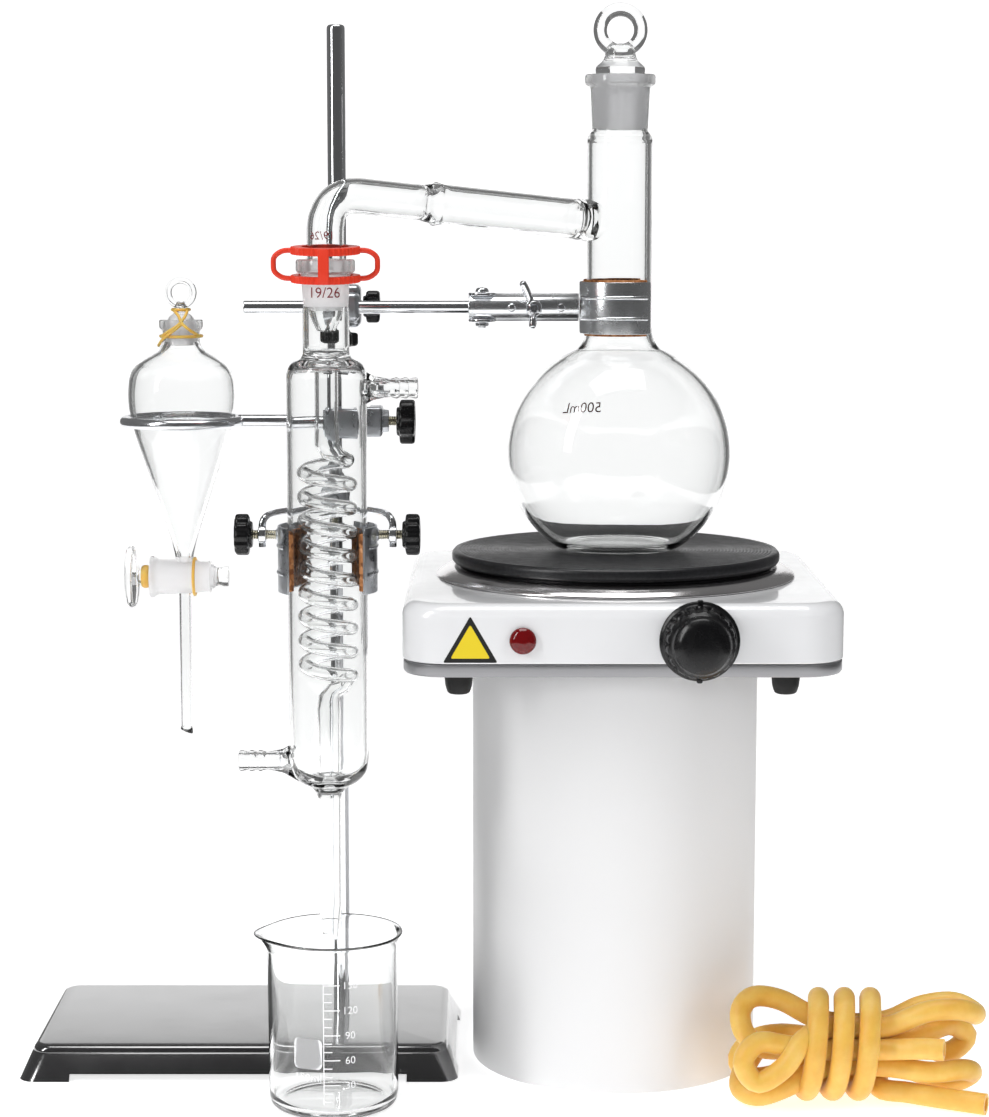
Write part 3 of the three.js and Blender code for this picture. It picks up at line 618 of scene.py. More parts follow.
def stacked(name, levels, material, at=(0.0, 0.0, 0.0), sharp=30.0):
    """A solid through rounded rectangles: each level is (width, depth, corner, height)."""
    verts = []
    faces = []
    rings = []
    for width, depth, corner, height in levels:
        start = len(verts)
        verts.extend((x, y, height) for x, y in rounded_rect(width, depth, corner))
        rings.append(list(range(start, len(verts))))
    for low, high in zip(rings, rings[1:]):
        for k in range(len(low)):
            n = (k + 1) % len(low)
            faces.append((low[k], low[n], high[n], high[k]))
    faces.append(tuple(reversed(rings[0])))
    faces.append(tuple(rings[-1]))
    return build_mesh(name, verts, faces, material, sharp, at)


def turned_level(width, depth, corner, height, inset, drop, steps=5):
    """Levels that round a top edge over from a wall to a flat top."""
    levels = []
    for k in range(steps + 1):
        angle = math.pi / 2 * k / steps
        i = inset * (1 - math.cos(angle))
        levels.append((width - 2 * i, depth - 2 * i, corner - i * 0.6,
                height - drop + drop * math.sin(angle)))
    return levels


def arc_plate(name, inner, outer, middle, half, z0, z1, material, at, steps=28, bevel=0.3):
    angles = [math.radians(middle - half + 2 * half * k / steps) for k in range(steps + 1)]
    outline = [(outer * math.cos(a), outer * math.sin(a)) for a in angles]
    outline += [(inner * math.cos(a), inner * math.sin(a)) for a in reversed(angles)]
    return plate(name, outline, z1 - z0, material, bevel, (at[0], at[1], z0))


def label(name, text, size, material, bend_radius, at, height, turn=0.0, mirrored=False, ball=None):
    """Printed text wrapped round an upright cylinder, or a ball of (radius, centre height).

    Turn 0 is the front.
    """
    curve = bpy.data.curves.new(name, "FONT")
    curve.body = text
    curve.size = size
    curve.align_x = "CENTER"
    curve.resolution_u = 4
    holder = bpy.data.objects.new(name + ".flat", curve)
    bpy.context.scene.collection.objects.link(holder)
    graph = bpy.context.evaluated_depsgraph_get()
    flat = bpy.data.meshes.new_from_object(holder.evaluated_get(graph))
    bpy.data.objects.remove(holder)
    shell = bmesh.new()
    shell.from_mesh(flat)
    bmesh.ops.triangulate(shell, faces=shell.faces)
    bmesh.ops.subdivide_edges(shell, edges=[e for e in shell.edges if e.calc_length() > size * 0.15], cuts=2)
    bmesh.ops.triangulate(shell, faces=shell.faces)
    shell.verts.index_update()
    sign = -1.0 if mirrored else 1.0
    verts = []
    for v in shell.verts:
        angle = math.radians(-90 + turn) + sign * v.co.x / bend_radius
        z = height + v.co.y
        reach = math.sqrt(ball[0] ** 2 - (z - ball[1]) ** 2) if ball else bend_radius
        verts.append((reach * math.cos(angle), reach * math.sin(angle), z))
    faces = [[v.index for v in f.verts] for f in shell.faces]
    shell.free()
    return build_mesh(name, verts, faces, material, 60.0, (at[0], at[1], 0.0))


def wrapped_patch(name, width, height, radius, material, at, z, turn, corner=0.0):
    """A printed rectangle on an upright cylinder."""
    outline = rounded_rect(width, height, corner, 4) if corner > 0 else None
    verts = []
    faces = []
    if outline is None:
        columns = max(2, int(width))
        for k in range(columns + 1):
            for row in (0, 1):
                angle = math.radians(-90 + turn) + (-width / 2 + width * k / columns) / radius
                verts.append((radius * math.cos(angle), radius * math.sin(angle),
                        z - height / 2 + height * row))
        for k in range(columns):
            faces.append((2 * k, 2 * k + 2, 2 * k + 3, 2 * k + 1))
    else:
        for x, y in outline:
            angle = math.radians(-90 + turn) + x / radius
            verts.append((radius * math.cos(angle), radius * math.sin(angle), z + y))
        faces.append(tuple(range(len(verts))))
    return build_mesh(name, verts, faces, material, 60.0, (at[0], at[1], 0.0))


# ---------------------------------------------------------------- hank of tubing, first of the pieces
def hose_route():
    """Seven runs folded end to end, then three turns round their middle and a loose tail."""
    middle_y, middle_z = -69.0, 22.6
    lifted_z, taller = 26.5, 1.2
    run_gap = 8.8
    lowest_z = 4.9
    places = [(-1.0, 0.0), (-0.5, 0.87), (0.5, 0.87), (1.0, 0.0), (0.0, 0.0), (0.5, -0.87), (-0.5, -0.87)]

    def run(index, x, spread=1.0, dy=0.0, dz=0.0):
        across, up = places[index]
        return (x, middle_y + run_gap * spread * across + dy, middle_z + run_gap * spread * up + dz)

    points = [
        (232.5, -87.4, 25.0), (222, -84.0, 24.5), run(0, 208), run(0, 182), run(0, 163, 1.45, 0, 2.5),
        (149.5, -84.5, 27.0), (142.6, -86.6, 20.0), (149.0, -87.9, 12.5), (161, -88.0, 18.5),
        (170, -84.0, 28.0),
        run(1, 184), run(1, 208), run(1, 226, 1.9), (241, -77.5, 38.0), (249.4, -70, 34.5), (241, -62, 37.0),
        run(2, 226, 1.7), run(2, 208), run(2, 182), run(2, 162, 1.95),
        (149, -63.0, 39.5), (142.8, -68.0, 35.0), (144.5, -73.0, 27.5), (153, -75.0, 22.5),
        (165, -72.0, 22.0),
        (178, -69, 22.6), run(4, 190), run(4, 208), (228, -64, 26.0), (240, -57.0, 27.0),
        (248.5, -52.5, 21.5), (240, -52.5, 15.0),
        run(3, 226, 1.6, 0, -4), run(3, 208), run(3, 182), run(3, 163, 1.7),
        (150, -53.5, 20.0), (143.0, -56.0, 13.0), (150, -58.0, 6.5), run(5, 165, 1.7), run(5, 183),
        run(5, 208),
        run(5, 227, 1.8), (240, -64, 6.5), (248.0, -70, 11.5), (242, -78.5, 15.0),
        run(6, 228, 1.4, -3, 2), run(6, 208),
        run(6, 182), run(6, 163, 1.9), (150, -80, 5.4), (142.6, -72.0, 6.5), (146.5, -60.5, 12.5),
        (158, -51.4, 21.0),
    ]
    points = [(x, y, max(lowest_z, lifted_z + taller * (z - middle_z))) for x, y, z in points]
    wrap_start, wrap_turned = math.radians(-10), math.radians(-360 * 3 - 82)
    wrap_radius, wrap_x, wrap_width = 17.6, 169.5, 38.0
    wrap_points = 45
    for k in range(wrap_points + 1):
        t = k / wrap_points
        angle = wrap_start + wrap_turned * t
        y = middle_y + wrap_radius * math.cos(angle)
        z = lifted_z + taller * wrap_radius * math.sin(angle)
        points.append((wrap_x + wrap_width * t, y, z))
    points += [(218.0, -73.5, 5.2), (230.0, -79.5, 5.0), (241.0, -84.8, 4.9), (251.5, -89.5, 4.8)]
    return smooth_path(points, 2.4)


def build_hose():
    route = hose_route()
    hose = sweep("water_hose_tube", route, HOSE_D / 2, LATEX, 20, bore=3.1)
    put(hose, "water_hose")


# ---------------------------------------------------------------- common metal and plastic pieces
def thread_profile(radius, start, end, pitch=0.9, depth=0.38):
    profile = [(0.0, start), (radius - depth, start)]
    z = start + pitch / 2
    while z < end - pitch / 2:
        profile += [(radius, z), (radius - depth, z + pitch / 2)]
        z += pitch
    return profile + [(radius - depth, end), (0.0, end)]


def threaded(name, tip, axis, length, radius, material=None):
    profile = thread_profile(radius, 0.0, length)
    return revolve(name, profile, material or YELLOW_STEEL, tip, axis, 20, sharp=20.0)


def lobed(lobes, depth, inner):
    """A wave for revolve that presses lobes into the rim of a knob."""

    def reach(r, z, angle):
        share = max(0.0, min(1.0, (r - inner) / 3.0))
        return r - depth * share * (0.5 - 0.5 * math.cos(lobes * angle)) ** 1.5

    return reach


def thumb_knob(name, mouth, axis, radius, thickness, screw_r, lobes=5, depth=2.4):
    profile = rounded([
        (screw_r + 0.3, 0.0), (radius * 0.62, 0.0, 0.6), (radius * 0.66, 1.2, 0.5), (radius, 1.6, 1.2),
        (radius, thickness - 0.4, 1.6), (radius * 0.55, thickness, 1.0), (radius * 0.3, thickness - 0.5, 0.4),
        (0.0, thickness - 0.5),
    ])
    blind = [(0.0, thickness - 1.5), (screw_r + 0.3, thickness - 1.5)]
    return revolve(
        name, blind + profile, BLACK_PLASTIC, mouth, axis, 60, lobed(lobes, depth, radius * 0.55), 40.0,
    )


def straight(name, start, end, radius, material, sides=28, chamfer=0.5):
    """A round bar with eased ends."""
    start = Vector(start)
    end = Vector(end)
    length = (end - start).length
    profile = rounded([(0, 0), (radius, 0, chamfer), (radius, length, chamfer), (0, length)], 4)
    return revolve(name, profile, material, start, tuple((end - start).normalized()), sides, sharp=40.0)


def torus(name, ring_r, wire_r, material, at, axis=(0, 0, 1), steps=64, sides=16, flatten=1.0):
    profile = []
    for k in range(sides):
        angle = 2 * math.pi * k / sides
        profile.append((ring_r + wire_r * math.cos(angle), wire_r * flatten * math.sin(angle)))
    return revolve(name, profile, material, at, axis, steps)


# ---------------------------------------------------------------- retort stand and ring
def build_stand():
    centre = (ROD[0] - 45.5, ROD[1] - 4, 0.0)
    levels = [(205, 122, 8, 0.0), (204.4, 121.2, 8, 0.5), (195.5, 106.5, 8, 10.6)]
    levels += turned_level(194.4, 105.0, 8, 14.5, 3.4, 3.2, 7)
    base = stacked("stand_base_sheet", levels, BLACK_ENAMEL, centre)
    hollow = stacked("hollow", [(202.6, 119.6, 7, -1.0), (191, 102, 7, 12.6)], BLACK_ENAMEL, centre)
    long_gap = slab("long_gap", (157, 160, 4), (0, 0, 1.0), BLACK_ENAMEL, 0.0, centre)
    short_gap = slab("short_gap", (260, 74, 4), (0, 0, 1.0), BLACK_ENAMEL, 0.0, centre)
    hole = straight("hole", (*ROD, 5), (*ROD, 20), 4.6, BLACK_ENAMEL, 32, 0.0)
    put(combine(base, [hollow, long_gap, short_gap, hole], "DIFFERENCE"), "stand_base")
    rod = rounded([(0, 3.2), (4.3, 3.2, 0.5), (4.3, 488, 2.6), (0, 488)], 8)
    put(revolve("stand_rod_bar", rod, CHROME, (*ROD, 0), segments=48), "stand_rod")


def build_ring():
    x, y = ROD
    frame_block = slab("ring_support_casting", (30, 18, 14), (6, 0, 0), CAST_ZINC, 1.4, (x, y, RING_Z))
    slot = slab("slot", (19.6, 14.6, 20), (5.2, 2.7, 0), CAST_ZINC, 0.6, (x, y, RING_Z))
    bore = straight("bore", (x + 10, y, RING_Z), (x + 30, y, RING_Z), 2.7, CAST_ZINC, 24, 0.0)
    combine(frame_block, [slot, bore], "DIFFERENCE")
    lug = revolve(
        "lug", rounded([(2.9, 0), (5.6, 0, 0.8), (5.2, 3.4, 0.6), (2.9, 3.4)]), CAST_ZINC,
        (x + 20.6, y, RING_Z),
        (1, 0, 0), 6,
    )
    nut = revolve(
        "arm_nut", rounded([(3.1, 0), (6.0, 0, 0.5), (6.0, 3.6, 0.5), (3.1, 3.6)]), BRIGHT_STEEL,
        (x - 9.3, y, RING_Z), (-1, 0, 0), 6,
    )
    arm = straight("arm", (x - 8, y, RING_Z), (FUNNEL[0] + 26.4, y, RING_Z), 3.0, BRIGHT_STEEL)
    hoop = torus("hoop", 27.0, 2.5, BRIGHT_STEEL, (*FUNNEL, RING_Z), steps=96)
    put(merge(frame_block, lug, nut, arm, hoop), "ring_support")
    put(threaded("ring_clamp_thread", (x + 4.6, y, RING_Z), (1, 0, 0), 30, 2.4), "ring_clamp_screw")
    put(thumb_knob("ring_clamp_grip", (x + 27.6, y, RING_Z), (1, 0, 0), 11, 9, 2.4, 5, 2.2),
            "ring_clamp_knob")


# ---------------------------------------------------------------- separating funnel
def slanted_cutter(name, z, lean):
    matrix = Matrix.Rotation(math.radians(lean), 4, "Y")
    return slab(name, (24, 24, 14), (0, 0, -7), GLASS, 0.0, (*FUNNEL, z), matrix)


def build_funnel():
    z = COCK_Z
    place = (*FUNNEL, 0)
    outer = rounded([
        (0, 229), (4.1, 231), (4.3, 238.5, 2), (6, 246, 3), (22.4, 296.5, 8), (23.9, 303, 3), (25.2, 309, 3),
        (25.6, 316, 4), (24.8, 324, 4), (22.6, 329, 3), (15.6, 333.6, 4), (10.2, 336.8, 2), (8.75, 340, 1),
        (8.75, 345.6, 0.8), (10.3, 347.0, 1), (10.3, 351, 1), (0, 351),
    ])
    inner = rounded([
        (0, 234), (1.9, 234), (2.4, 240, 2), (4.4, 247, 3), (20.9, 297, 8), (22.3, 303, 3), (23.6, 309, 3),
        (24.0, 316, 4), (23.2, 323.4, 4), (21.2, 327.6, 3), (14.8, 332.0, 4), (8.4, 335.6, 2), (6.3, 340, 1),
        (6.9, 352, 0), (0, 352),
    ])
    body = revolve("funnel_bulb", outer, GLASS, place, segments=88)
    # Rings along the stem and its bore keep the faces short, so that the glass shades evenly.
    stem_rings = (150, 156, 160, 170, 190, 210)
    stem_profile = [(0, 150), *((2.9, height) for height in stem_rings), (2.9, z), (0, z)]
    stem = revolve("stem", stem_profile, GLASS, place, segments=40)
    barrel = revolve("barrel", rounded([
        (0, -16.2), (10, -16.2, 0.6), (10, -14.8, 0.8), (8.4, -12.6, 1.5), (8.15, 2, 2), (7.1, 10, 2),
        (7.7, 12.6, 0.4),
        (0, 12.6),
    ]), GLASS, (*FUNNEL, z), (1, 0, 0), 48)
    combine(body, [stem, barrel], "UNION")
    hollow = revolve("hollow", inner, GLASS, place, segments=88)
    bore = revolve("bore", [(0, -20), (6.35, -20), (5.95, 20), (0, 20)], GLASS, (*FUNNEL, z), (1, 0, 0), 48)
    drip_rings = (140, 156, 160, 170, 190, 210)
    drip_profile = [(0, 140), *((2.15, height) for height in drip_rings), (2.15, z), (0, z)]
    drip = revolve("drip", drip_profile, GLASS, place, segments=40)
    throat = straight("throat", (*FUNNEL, z), (*FUNNEL, 240), 1.8, GLASS, 20, 0.0)
    combine(body, [hollow, bore, drip, throat, slanted_cutter("slant", 153.5, 22)], "DIFFERENCE")
    paint(body, FROSTED, lambda c: abs(c.z - z) < 9.5 and abs(c.x - FUNNEL[0]) < 17 and c.z < 238)
    paint(body, SOFT_FROST, lambda c: c.z > 340.5 and (c.xy - Vector(FUNNEL)).length < 7.2)
    put(body, "funnel_body")

    plug = revolve("funnel_plug", rounded([
        (0, 338.6), (5.7, 338.6, 0.6), (6.15, 351.4, 0.6), (5.0, 352.9, 0.8), (2.9, 354.4, 1.2),
        (3.0, 358, 1), (0, 359),
    ]), GLASS, place, segments=48)
    paint(plug, SOFT_FROST, lambda c: c.z < 351 and (c.xy - Vector(FUNNEL)).length > 5.0)
    eye = torus("eye", 5.9, 1.7, GLASS, (*FUNNEL, 363.6), (0, 1, 0), 48, 14, 1.7)
    put(merge(plug, eye), "funnel_stopper")

    lower = torus("funnel_tie", 9.7, 0.75, LATEX, (*FUNNEL, 343.2), steps=56)
    upper = torus("upper", 4.0, 0.75, LATEX, (*FUNNEL, 355.6), steps=40)
    routes = (
        [(-3.4, -2.2, 355.6), (-0.5, -6.8, 353.0), (1.6, -10.6, 349.5), (5.4, -9.9, 346.2),
        (8.9, -3.6, 343.4)],
        [(3.4, -2.2, 355.6), (2.6, -7.0, 352.6), (-0.2, -10.9, 348.8), (-5.2, -9.6, 345.6),
        (-9.2, -3.2, 343.0)],
        [(1.2, -10.6, 349.0), (-1.8, -11.0, 346.6), (-7.6, -8.2, 342.2), (-10.4, -3.8, 338.8)],
    )
    strands = [sweep(f"strand{k}", smooth_path(r, 0.8), 0.72, LATEX, 12, at=place) for k,
            r in enumerate(routes)]
    put(merge(lower, upper, *strands), "stopper_band")
    build_stopcock(z)


def build_stopcock(z):
    core = revolve("stopcock_key", rounded([
        (0, -23.5), (3.2, -23.5, 0.5), (3.4, -16.8, 0.8), (5.9, -16.2, 0.3), (5.65, 14.2, 0.4),
        (4.7, 14.9, 0.4),
        (4.1, 17, 0.8), (4.8, 18.8, 0.5), (4.8, 21.2, 0.6), (0, 21.2),
    ]), GLASS, (*FUNNEL, z), (1, 0, 0), 48)
    hole = straight("hole", (*FUNNEL, z - 9), (*FUNNEL, z + 9), 1.4, GLASS, 20, 0.0)
    combine(core, [hole], "DIFFERENCE")
    paint(core, SOFT_FROST, lambda c: -16.6 < c.x - FUNNEL[0] < 14.5 and (c.yz - Vector((FUNNEL[1],
            z))).length > 5.3)
    profile = rounded([(0, -15), (5.2, -13.8, 3), (8, -6, 5), (8.2, 3, 5), (6, 12.6, 4), (3, 14.6, 2),
            (0, 15)], 6)
    paddle = revolve("paddle", profile, GLASS, segments=40)
    paddle.data.transform(Matrix.Translation(Vector((FUNNEL[0] - 25.2, FUNNEL[1],
            z)) * MM) @ Matrix.Diagonal((0.46, 1, 1, 1)))
    put(merge(core, paddle), "stopcock_plug")
    put(torus("stopcock_washer", 4.5, 1.1, LATEX, (FUNNEL[0] - 18.6, FUNNEL[1], z), (1, 0, 0), 40, 14,
            1.8), "stopcock_ring")
    put(torus("stopcock_tie", 8.75, 0.75, LATEX, (FUNNEL[0] + 4.9, FUNNEL[1], z), (1, 0, 0), 48, 12),
            "stopcock_band")


# ---------------------------------------------------------------- upper boss head and flask clamp
def build_upper_boss():
    x, y = ROD
    block = slab("upper_boss_casting", (20, 17, 20), (1, 0.5, 0), CAST_ZINC, 2.6, (x, y, ARM_Z))
    nose = slab("nose", (20, 16.5, 13.4), (1, -15.2, 0), CAST_ZINC, 2.4, (x, y, ARM_Z))
    combine(block, [nose], "UNION")
    rod_hole = straight("rod_hole", (x, y, ARM_Z - 14), (x, y, ARM_Z + 14), 4.6, CAST_ZINC, 40, 0.0)
    arm_hole = straight("arm_hole", (x - 14, 6, ARM_Z), (x + 16, 6, ARM_Z), 3.3, CAST_ZINC, 32, 0.0)
    side_hole = straight("side_hole", (x + 3, y, ARM_Z), (x + 15, y, ARM_Z), 2.6, CAST_ZINC, 24, 0.0)
    low_hole = straight("low_hole", (x, 6, ARM_Z - 10), (x, 6, ARM_Z), 2.6, CAST_ZINC, 24, 0.0)
    put(combine(block, [rod_hole, arm_hole, side_hole, low_hole], "DIFFERENCE"), "upper_boss_head")
    put(threaded("upper_rod_thread", (x + 4.6, y, ARM_Z), (1, 0, 0), 13.4, 2.3), "upper_boss_rod_screw")
    put(thumb_knob("upper_rod_grip", (x + 12.1, y, ARM_Z), (1, 0, 0), 8.0, 8, 2.3), "upper_boss_rod_knob")
    put(threaded("upper_arm_thread", (x, 6, ARM_Z - 3.3), (0, 0, -1), 13.2, 2.3), "upper_boss_arm_screw")
    put(thumb_knob("upper_arm_grip", (x, 6, ARM_Z - 10.5), (0, 0, -1), 10.5, 8, 2.3), "upper_boss_arm_knob")


def channel(name, start, end, facing, material):
    """Half-round pressed channel along X with rolled lips. facing is -1 to the front."""
    outline = []
    for k in range(15):
        angle = math.radians(-74 + 148 * k / 14)
        outline.append((facing * (1.0 + 5.2 * math.cos(angle)), 5.6 * math.sin(angle)))
    lips = [(facing * 1.0, 6.4), (facing * 0.5, 5.2)]
    inner = []
    for k in range(15):
        angle = math.radians(74 - 148 * k / 14)
        inner.append((facing * (0.6 + 4.4 * math.cos(angle)), 4.6 * math.sin(angle)))
    ring = outline + lips + inner + [(facing * 0.5, -5.2), (facing * 1.0, -6.4)]
    matrix = Matrix(((0, 0, 1, 0), (1, 0, 0, 0), (0, 1, 0, 0), (0, 0, 0, 1)))
    return plate(name, ring, end - start, material, 0.25, (31 + start, 6, ARM_Z), matrix)


def rivet(name, centre, axis, radius, material):
    profile = rounded([(0, -0.6), (radius, -0.6, 0.2), (radius * 0.8, 0.7, 0.6), (0, 1.0)], 5)
    return revolve(name, profile, material, centre, axis, 24)


def jaw_plate(name, middle, centre, inner, outer, half, z0, z1, material):
    """A curved clamp plate with rolled rims and two pressed ribs."""
    height = z1 - z0
    pieces = [arc_plate(name, inner, outer, middle, half, z0, z1, material, centre)]
    for k, z in enumerate((z0 + height * 0.3, z0 + height * 0.7)):
        rib = [(outer - 0.4, -1.1), (outer + 0.35, -0.7), (outer + 0.6, 0), (outer + 0.35, 0.7),
                (outer - 0.4, 1.1)]
        angles = [math.radians(middle - half + 6 + (2 * half - 12) * i / 40) for i in range(41)]
        verts = []
        faces = []
        for a in angles:
            verts += [(r * math.cos(a), r * math.sin(a), z + dz) for r, dz in rib]
        for i in range(40):
            for j in range(4):
                faces.append((5 * i + j, 5 * i + 5 + j, 5 * i + 6 + j, 5 * i + 1 + j))
        pieces.append(build_mesh(f"rib{k}", verts, faces, material, 60.0, (centre[0], centre[1], 0)))
    return merge(*pieces)


def build_flask_clamp():
    y = 6
    arm = straight("flask_clamp_rod", (-86, y, ARM_Z), (33, y, ARM_Z), 3.0, CHROME, 36)
    put(arm, "flask_clamp_arm")
    for side, node, cork in ((-1, "flask_clamp_front_jaw", "front_jaw_cork"),
            (1, "flask_clamp_body", "rear_jaw_cork")):
        middle = 180 - 77 * side if side > 0 else 257
        bar = channel(node + "_press", -12, 39.2, side, SATIN_CHROME)
        shell = jaw_plate("plate", middle, FLASK, 17.9, 19.1, 60, ARM_Z - 12, ARM_Z + 12, SATIN_CHROME)
        pieces = [bar, shell]
        if side < 0:
            for k, dx in enumerate((8, 31)):
                pieces.append(rivet(f"rivet{k}", (31 + dx, y - 6.1, ARM_Z), (0, -1, 0), 2.1, BRIGHT_STEEL))
            for k, dz in enumerate((6.1, -6.1)):
                pieces.append(revolve(
                    f"ear{k}", rounded([(1.9, -0.7), (6.4, -0.7, 0.4), (6.4, 0.7, 0.4), (1.9, 0.7)]), CHROME,
                    (25.2, y - 0.5, ARM_Z + dz), segments=40,
                ))
        put(merge(*pieces), node)
        pad = arc_plate(cork + "_pad", 15.4, 17.6, middle - side, 57, ARM_Z - 13, ARM_Z + 13, CORK, FLASK,
                40, 0.5)
        put(pad, cork)
    pin = revolve("pivot_pin", rounded([
        (0, -9.6), (1.9, -9.6, 0.4), (2.0, -8.9, 0.2), (3.1, -8.8, 0.4), (3.1, -7.1, 0.3), (1.6, -7.1),
        (1.6, 7.1),
        (3.3, 7.1, 0.3), (2.7, 8.9, 0.9), (0, 9.3),
    ]), BRIGHT_STEEL, (25.2, y, ARM_Z), segments=32)
    put(pin, "flask_clamp_pivot_pin")
    bolt = threaded("clamp_bolt", (49.3, y + 8.6, ARM_Z), (0, -1, 0), 21.6, 1.7, BRIGHT_STEEL)
    head = revolve("head", rounded([(0, 0), (3.6, 0, 0.4), (3.6, 2.2, 0.4), (0, 2.2)]), BRIGHT_STEEL,
            (49.3, y + 6.5, ARM_Z), (0, 1, 0), 6)
    put(merge(bolt, head), "flask_clamp_bolt")
    build_wing_nut((49.3, y, ARM_Z))


def build_wing_nut(centre):
    x, y, z = centre
    hub = revolve("wing_nut_hub", rounded([
        (1.95, 6.6), (3.3, 6.6, 0.4), (3.5, 8.4, 0.6), (4.0, 10.4, 1.4), (3.6, 13.6, 1.6), (1.95, 14.6),
        (1.95, 14.6),
    ]), CHROME, centre, (0, -1, 0), 36)

    def wing(name, dx, dz):
        mid = (x + dx * 0.55, y - 10.2, z + dz * 0.55)
        path = smooth_path([(x + dx * 0.18, y - 9.6, z + dz * 0.18), mid, (x + dx, y - 12.4, z + dz)], 0.6)
        count = len(path)
        radii = [1.0 + 0.9 * math.sin(math.pi * min(1.0,
                0.15 + 0.85 * k / (count - 1)) * 0.8) for k in range(count)]
        radii[-1] = 0.9
        return sweep(name, path, radii, CHROME, 16)

    put(merge(hub, wing("wing_up", -5.6, 12.2), wing("wing_down", -0.8, -9.2)), "flask_clamp_wing_nut")


# ---------------------------------------------------------------- distilling flask and stopper
ARM_LINE = Vector((CONDENSER[0] - FLASK[0], CONDENSER[1] - FLASK[1], 0.0))
ARM_RUN = ARM_LINE.length
ARM_WAY = ARM_LINE.normalized()


def side_arm_path(start, end_z):
    """Centre line of the flask's side arm: a rising run, a bend and a leg straight down."""
    def place(run, z):
        return Vector((*FLASK, 0)) + ARM_WAY * run + Vector((0, 0, z))

    points = [place(start, 396.5 + (start - 5) * 12.3 / 131)]
    points += [place(run, 396.5 + (run - 5) * 12.3 / 131) for run in range(15, 132, 6)]
    a, b, c = place(135, 408.7), place(ARM_RUN, 410.0), place(ARM_RUN, 393)
    for k in range(13):
        t = k / 12
        points.append(a * (1 - t) ** 2 + b * (2 * t * (1 - t)) + c * t ** 2)
    z = 388.0
    while z > end_z + 1:
        points.append(place(ARM_RUN, z))
        z -= 4.0
    points.append(place(ARM_RUN, end_z))
    return even_path(points, 1.5)


def ripple(value, centre, width, height):
    return height * math.exp(-((value - centre) / width) ** 2)


def side_arm_radii(path, wall):
    """Two tubes welded together, with a bead at each weld. wall is 0 for the outside."""
    radii = []
    for point in path:
        run = (point.xy - Vector(FLASK)).length
        share = max(0.0, min(1.0, (run - 97.5) / 6))
        radius = 9.1 - 1.2 * share * share * (3 - 2 * share)
        for weld in (20.5, 100.0):
            bead = ripple(run, weld - 2.2, 1.3, 0.75) + ripple(run, weld + 2.4, 1.2, 0.55)
            pinch = ripple(run, weld, 2.6, -1.3)
            radius += pinch if wall else bead
        if run > ARM_RUN - 1.0 and point.z < 402:
            radius = 8.15 - 0.65 * max(0.0, min(1.0, (378 - point.z) / 19))
            radius -= 4.2 * max(0.0, min(1.0, (358.5 - point.z) / 10)) ** 1.2
        radii.append(max(1.2, radius - wall))
    return radii


def build_flask():
    place = (*FLASK, 0)
    ball = arc(52.5, 289, -57, 60, 56)
    ball_inside = arc(50.4, 289, -56, 61, 56)
    outer = [(0, 245.4), (20, 245.0), (25.5, 244.5), (27.6, 244.7)] + ball[1:] + rounded([
        ball[-1], (17.6, 339, 7), (15.1, 346.5, 5), (15.1, 436.2, 1.5), (12.9, 438.4, 1), (13.0, 441, 1),
        (13.8, 458.4, 1), (16.4, 459.9, 1.2), (16.4, 464.4, 1.3), (12.2, 464.4, 0.5), (0, 464.4),
    ])[1:]
    inner = [(0, 247.4), (22, 247.0), (26.6, 247.0)] + ball_inside[2:] + rounded([
        ball_inside[-1], (15.2, 339.6, 7), (13.1, 347, 5), (13.1, 434, 2), (11.0, 438.6, 1),
        (11.8, 464.9), (0, 464.9),
    ])[1:]
    body = revolve("distilling_flask_glass", outer, GLASS, place, segments=128)
    hollow = revolve("hollow", inner, GLASS, place, segments=128)
    path = side_arm_path(9.0, 350.0)
    tube = sweep("tube", path, side_arm_radii(path, 0.0), GLASS, 40)
    bore_path = side_arm_path(6.0, 347.0)
    bore = sweep("bore", bore_path, side_arm_radii(bore_path, 1.55), GLASS, 36)
    combine(body, [tube], "UNION")
    combine(body, [hollow, bore], "DIFFERENCE")
    leg = Vector(CONDENSER)
    paint(body, FROSTED, lambda c: 358.6 < c.z < 375.5 and 6.9 < (c.xy - leg).length < 9)
    paint(body, SOFT_FROST, lambda c: 440.5 < c.z < 459 and (c.xy - Vector(FLASK)).length < 12.3)
    size_mark = label("size_mark", "19/26", 5.2, RED_PRINT, 8.3, CONDENSER, 390.0, -8, True)
    volume_mark = label("volume_mark", "500mL", 7.4, RED_PRINT, 47.0, FLASK, 305.0, 200, False, (50.3, 289))
    put(merge(body, size_mark, volume_mark), "distilling_flask")


def build_flask_stopper():
    plug = revolve("stopper_plug", rounded([
        (0, 438.5), (10.3, 438.5, 0.8), (11.2, 464.2, 0.6), (11.5, 465.6, 0.6), (11.5, 467.6, 1),
        (7.6, 471.0, 2),
        (6.7, 475.5, 2), (5.5, 478.0, 1), (0, 478.6),
    ]), GLASS, (*FLASK, 0), segments=64)
    paint(plug, SOFT_FROST, lambda c: c.z < 463.5 and (c.xy - Vector(FLASK)).length > 9.8)
    eye = torus("eye", 9.35, 3.15, GLASS, (*FLASK, 484.5), (0, 1, 0), 72, 24)
    put(merge(plug, eye), "flask_stopper")


# ---------------------------------------------------------------- coil condenser
def barb(name, side, z):
    profile = rounded([
        (0, 13), (9.6, 13.5), (7.4, 17.2, 2), (5.4, 20.5, 3), (4.4, 25.5, 2), (4.0, 28, 1),
        (4.9, 31, 0.7), (4.1, 32.2, 0.4), (4.9, 35, 0.7), (4.1, 36.2, 0.4),
        (4.8, 39.2, 0.8), (4.4, 40.4, 0.5), (0, 40.4),
    ], 4)
    return revolve(name, profile, GLASS, (*CONDENSER, z), (side, 0, 0), 40)


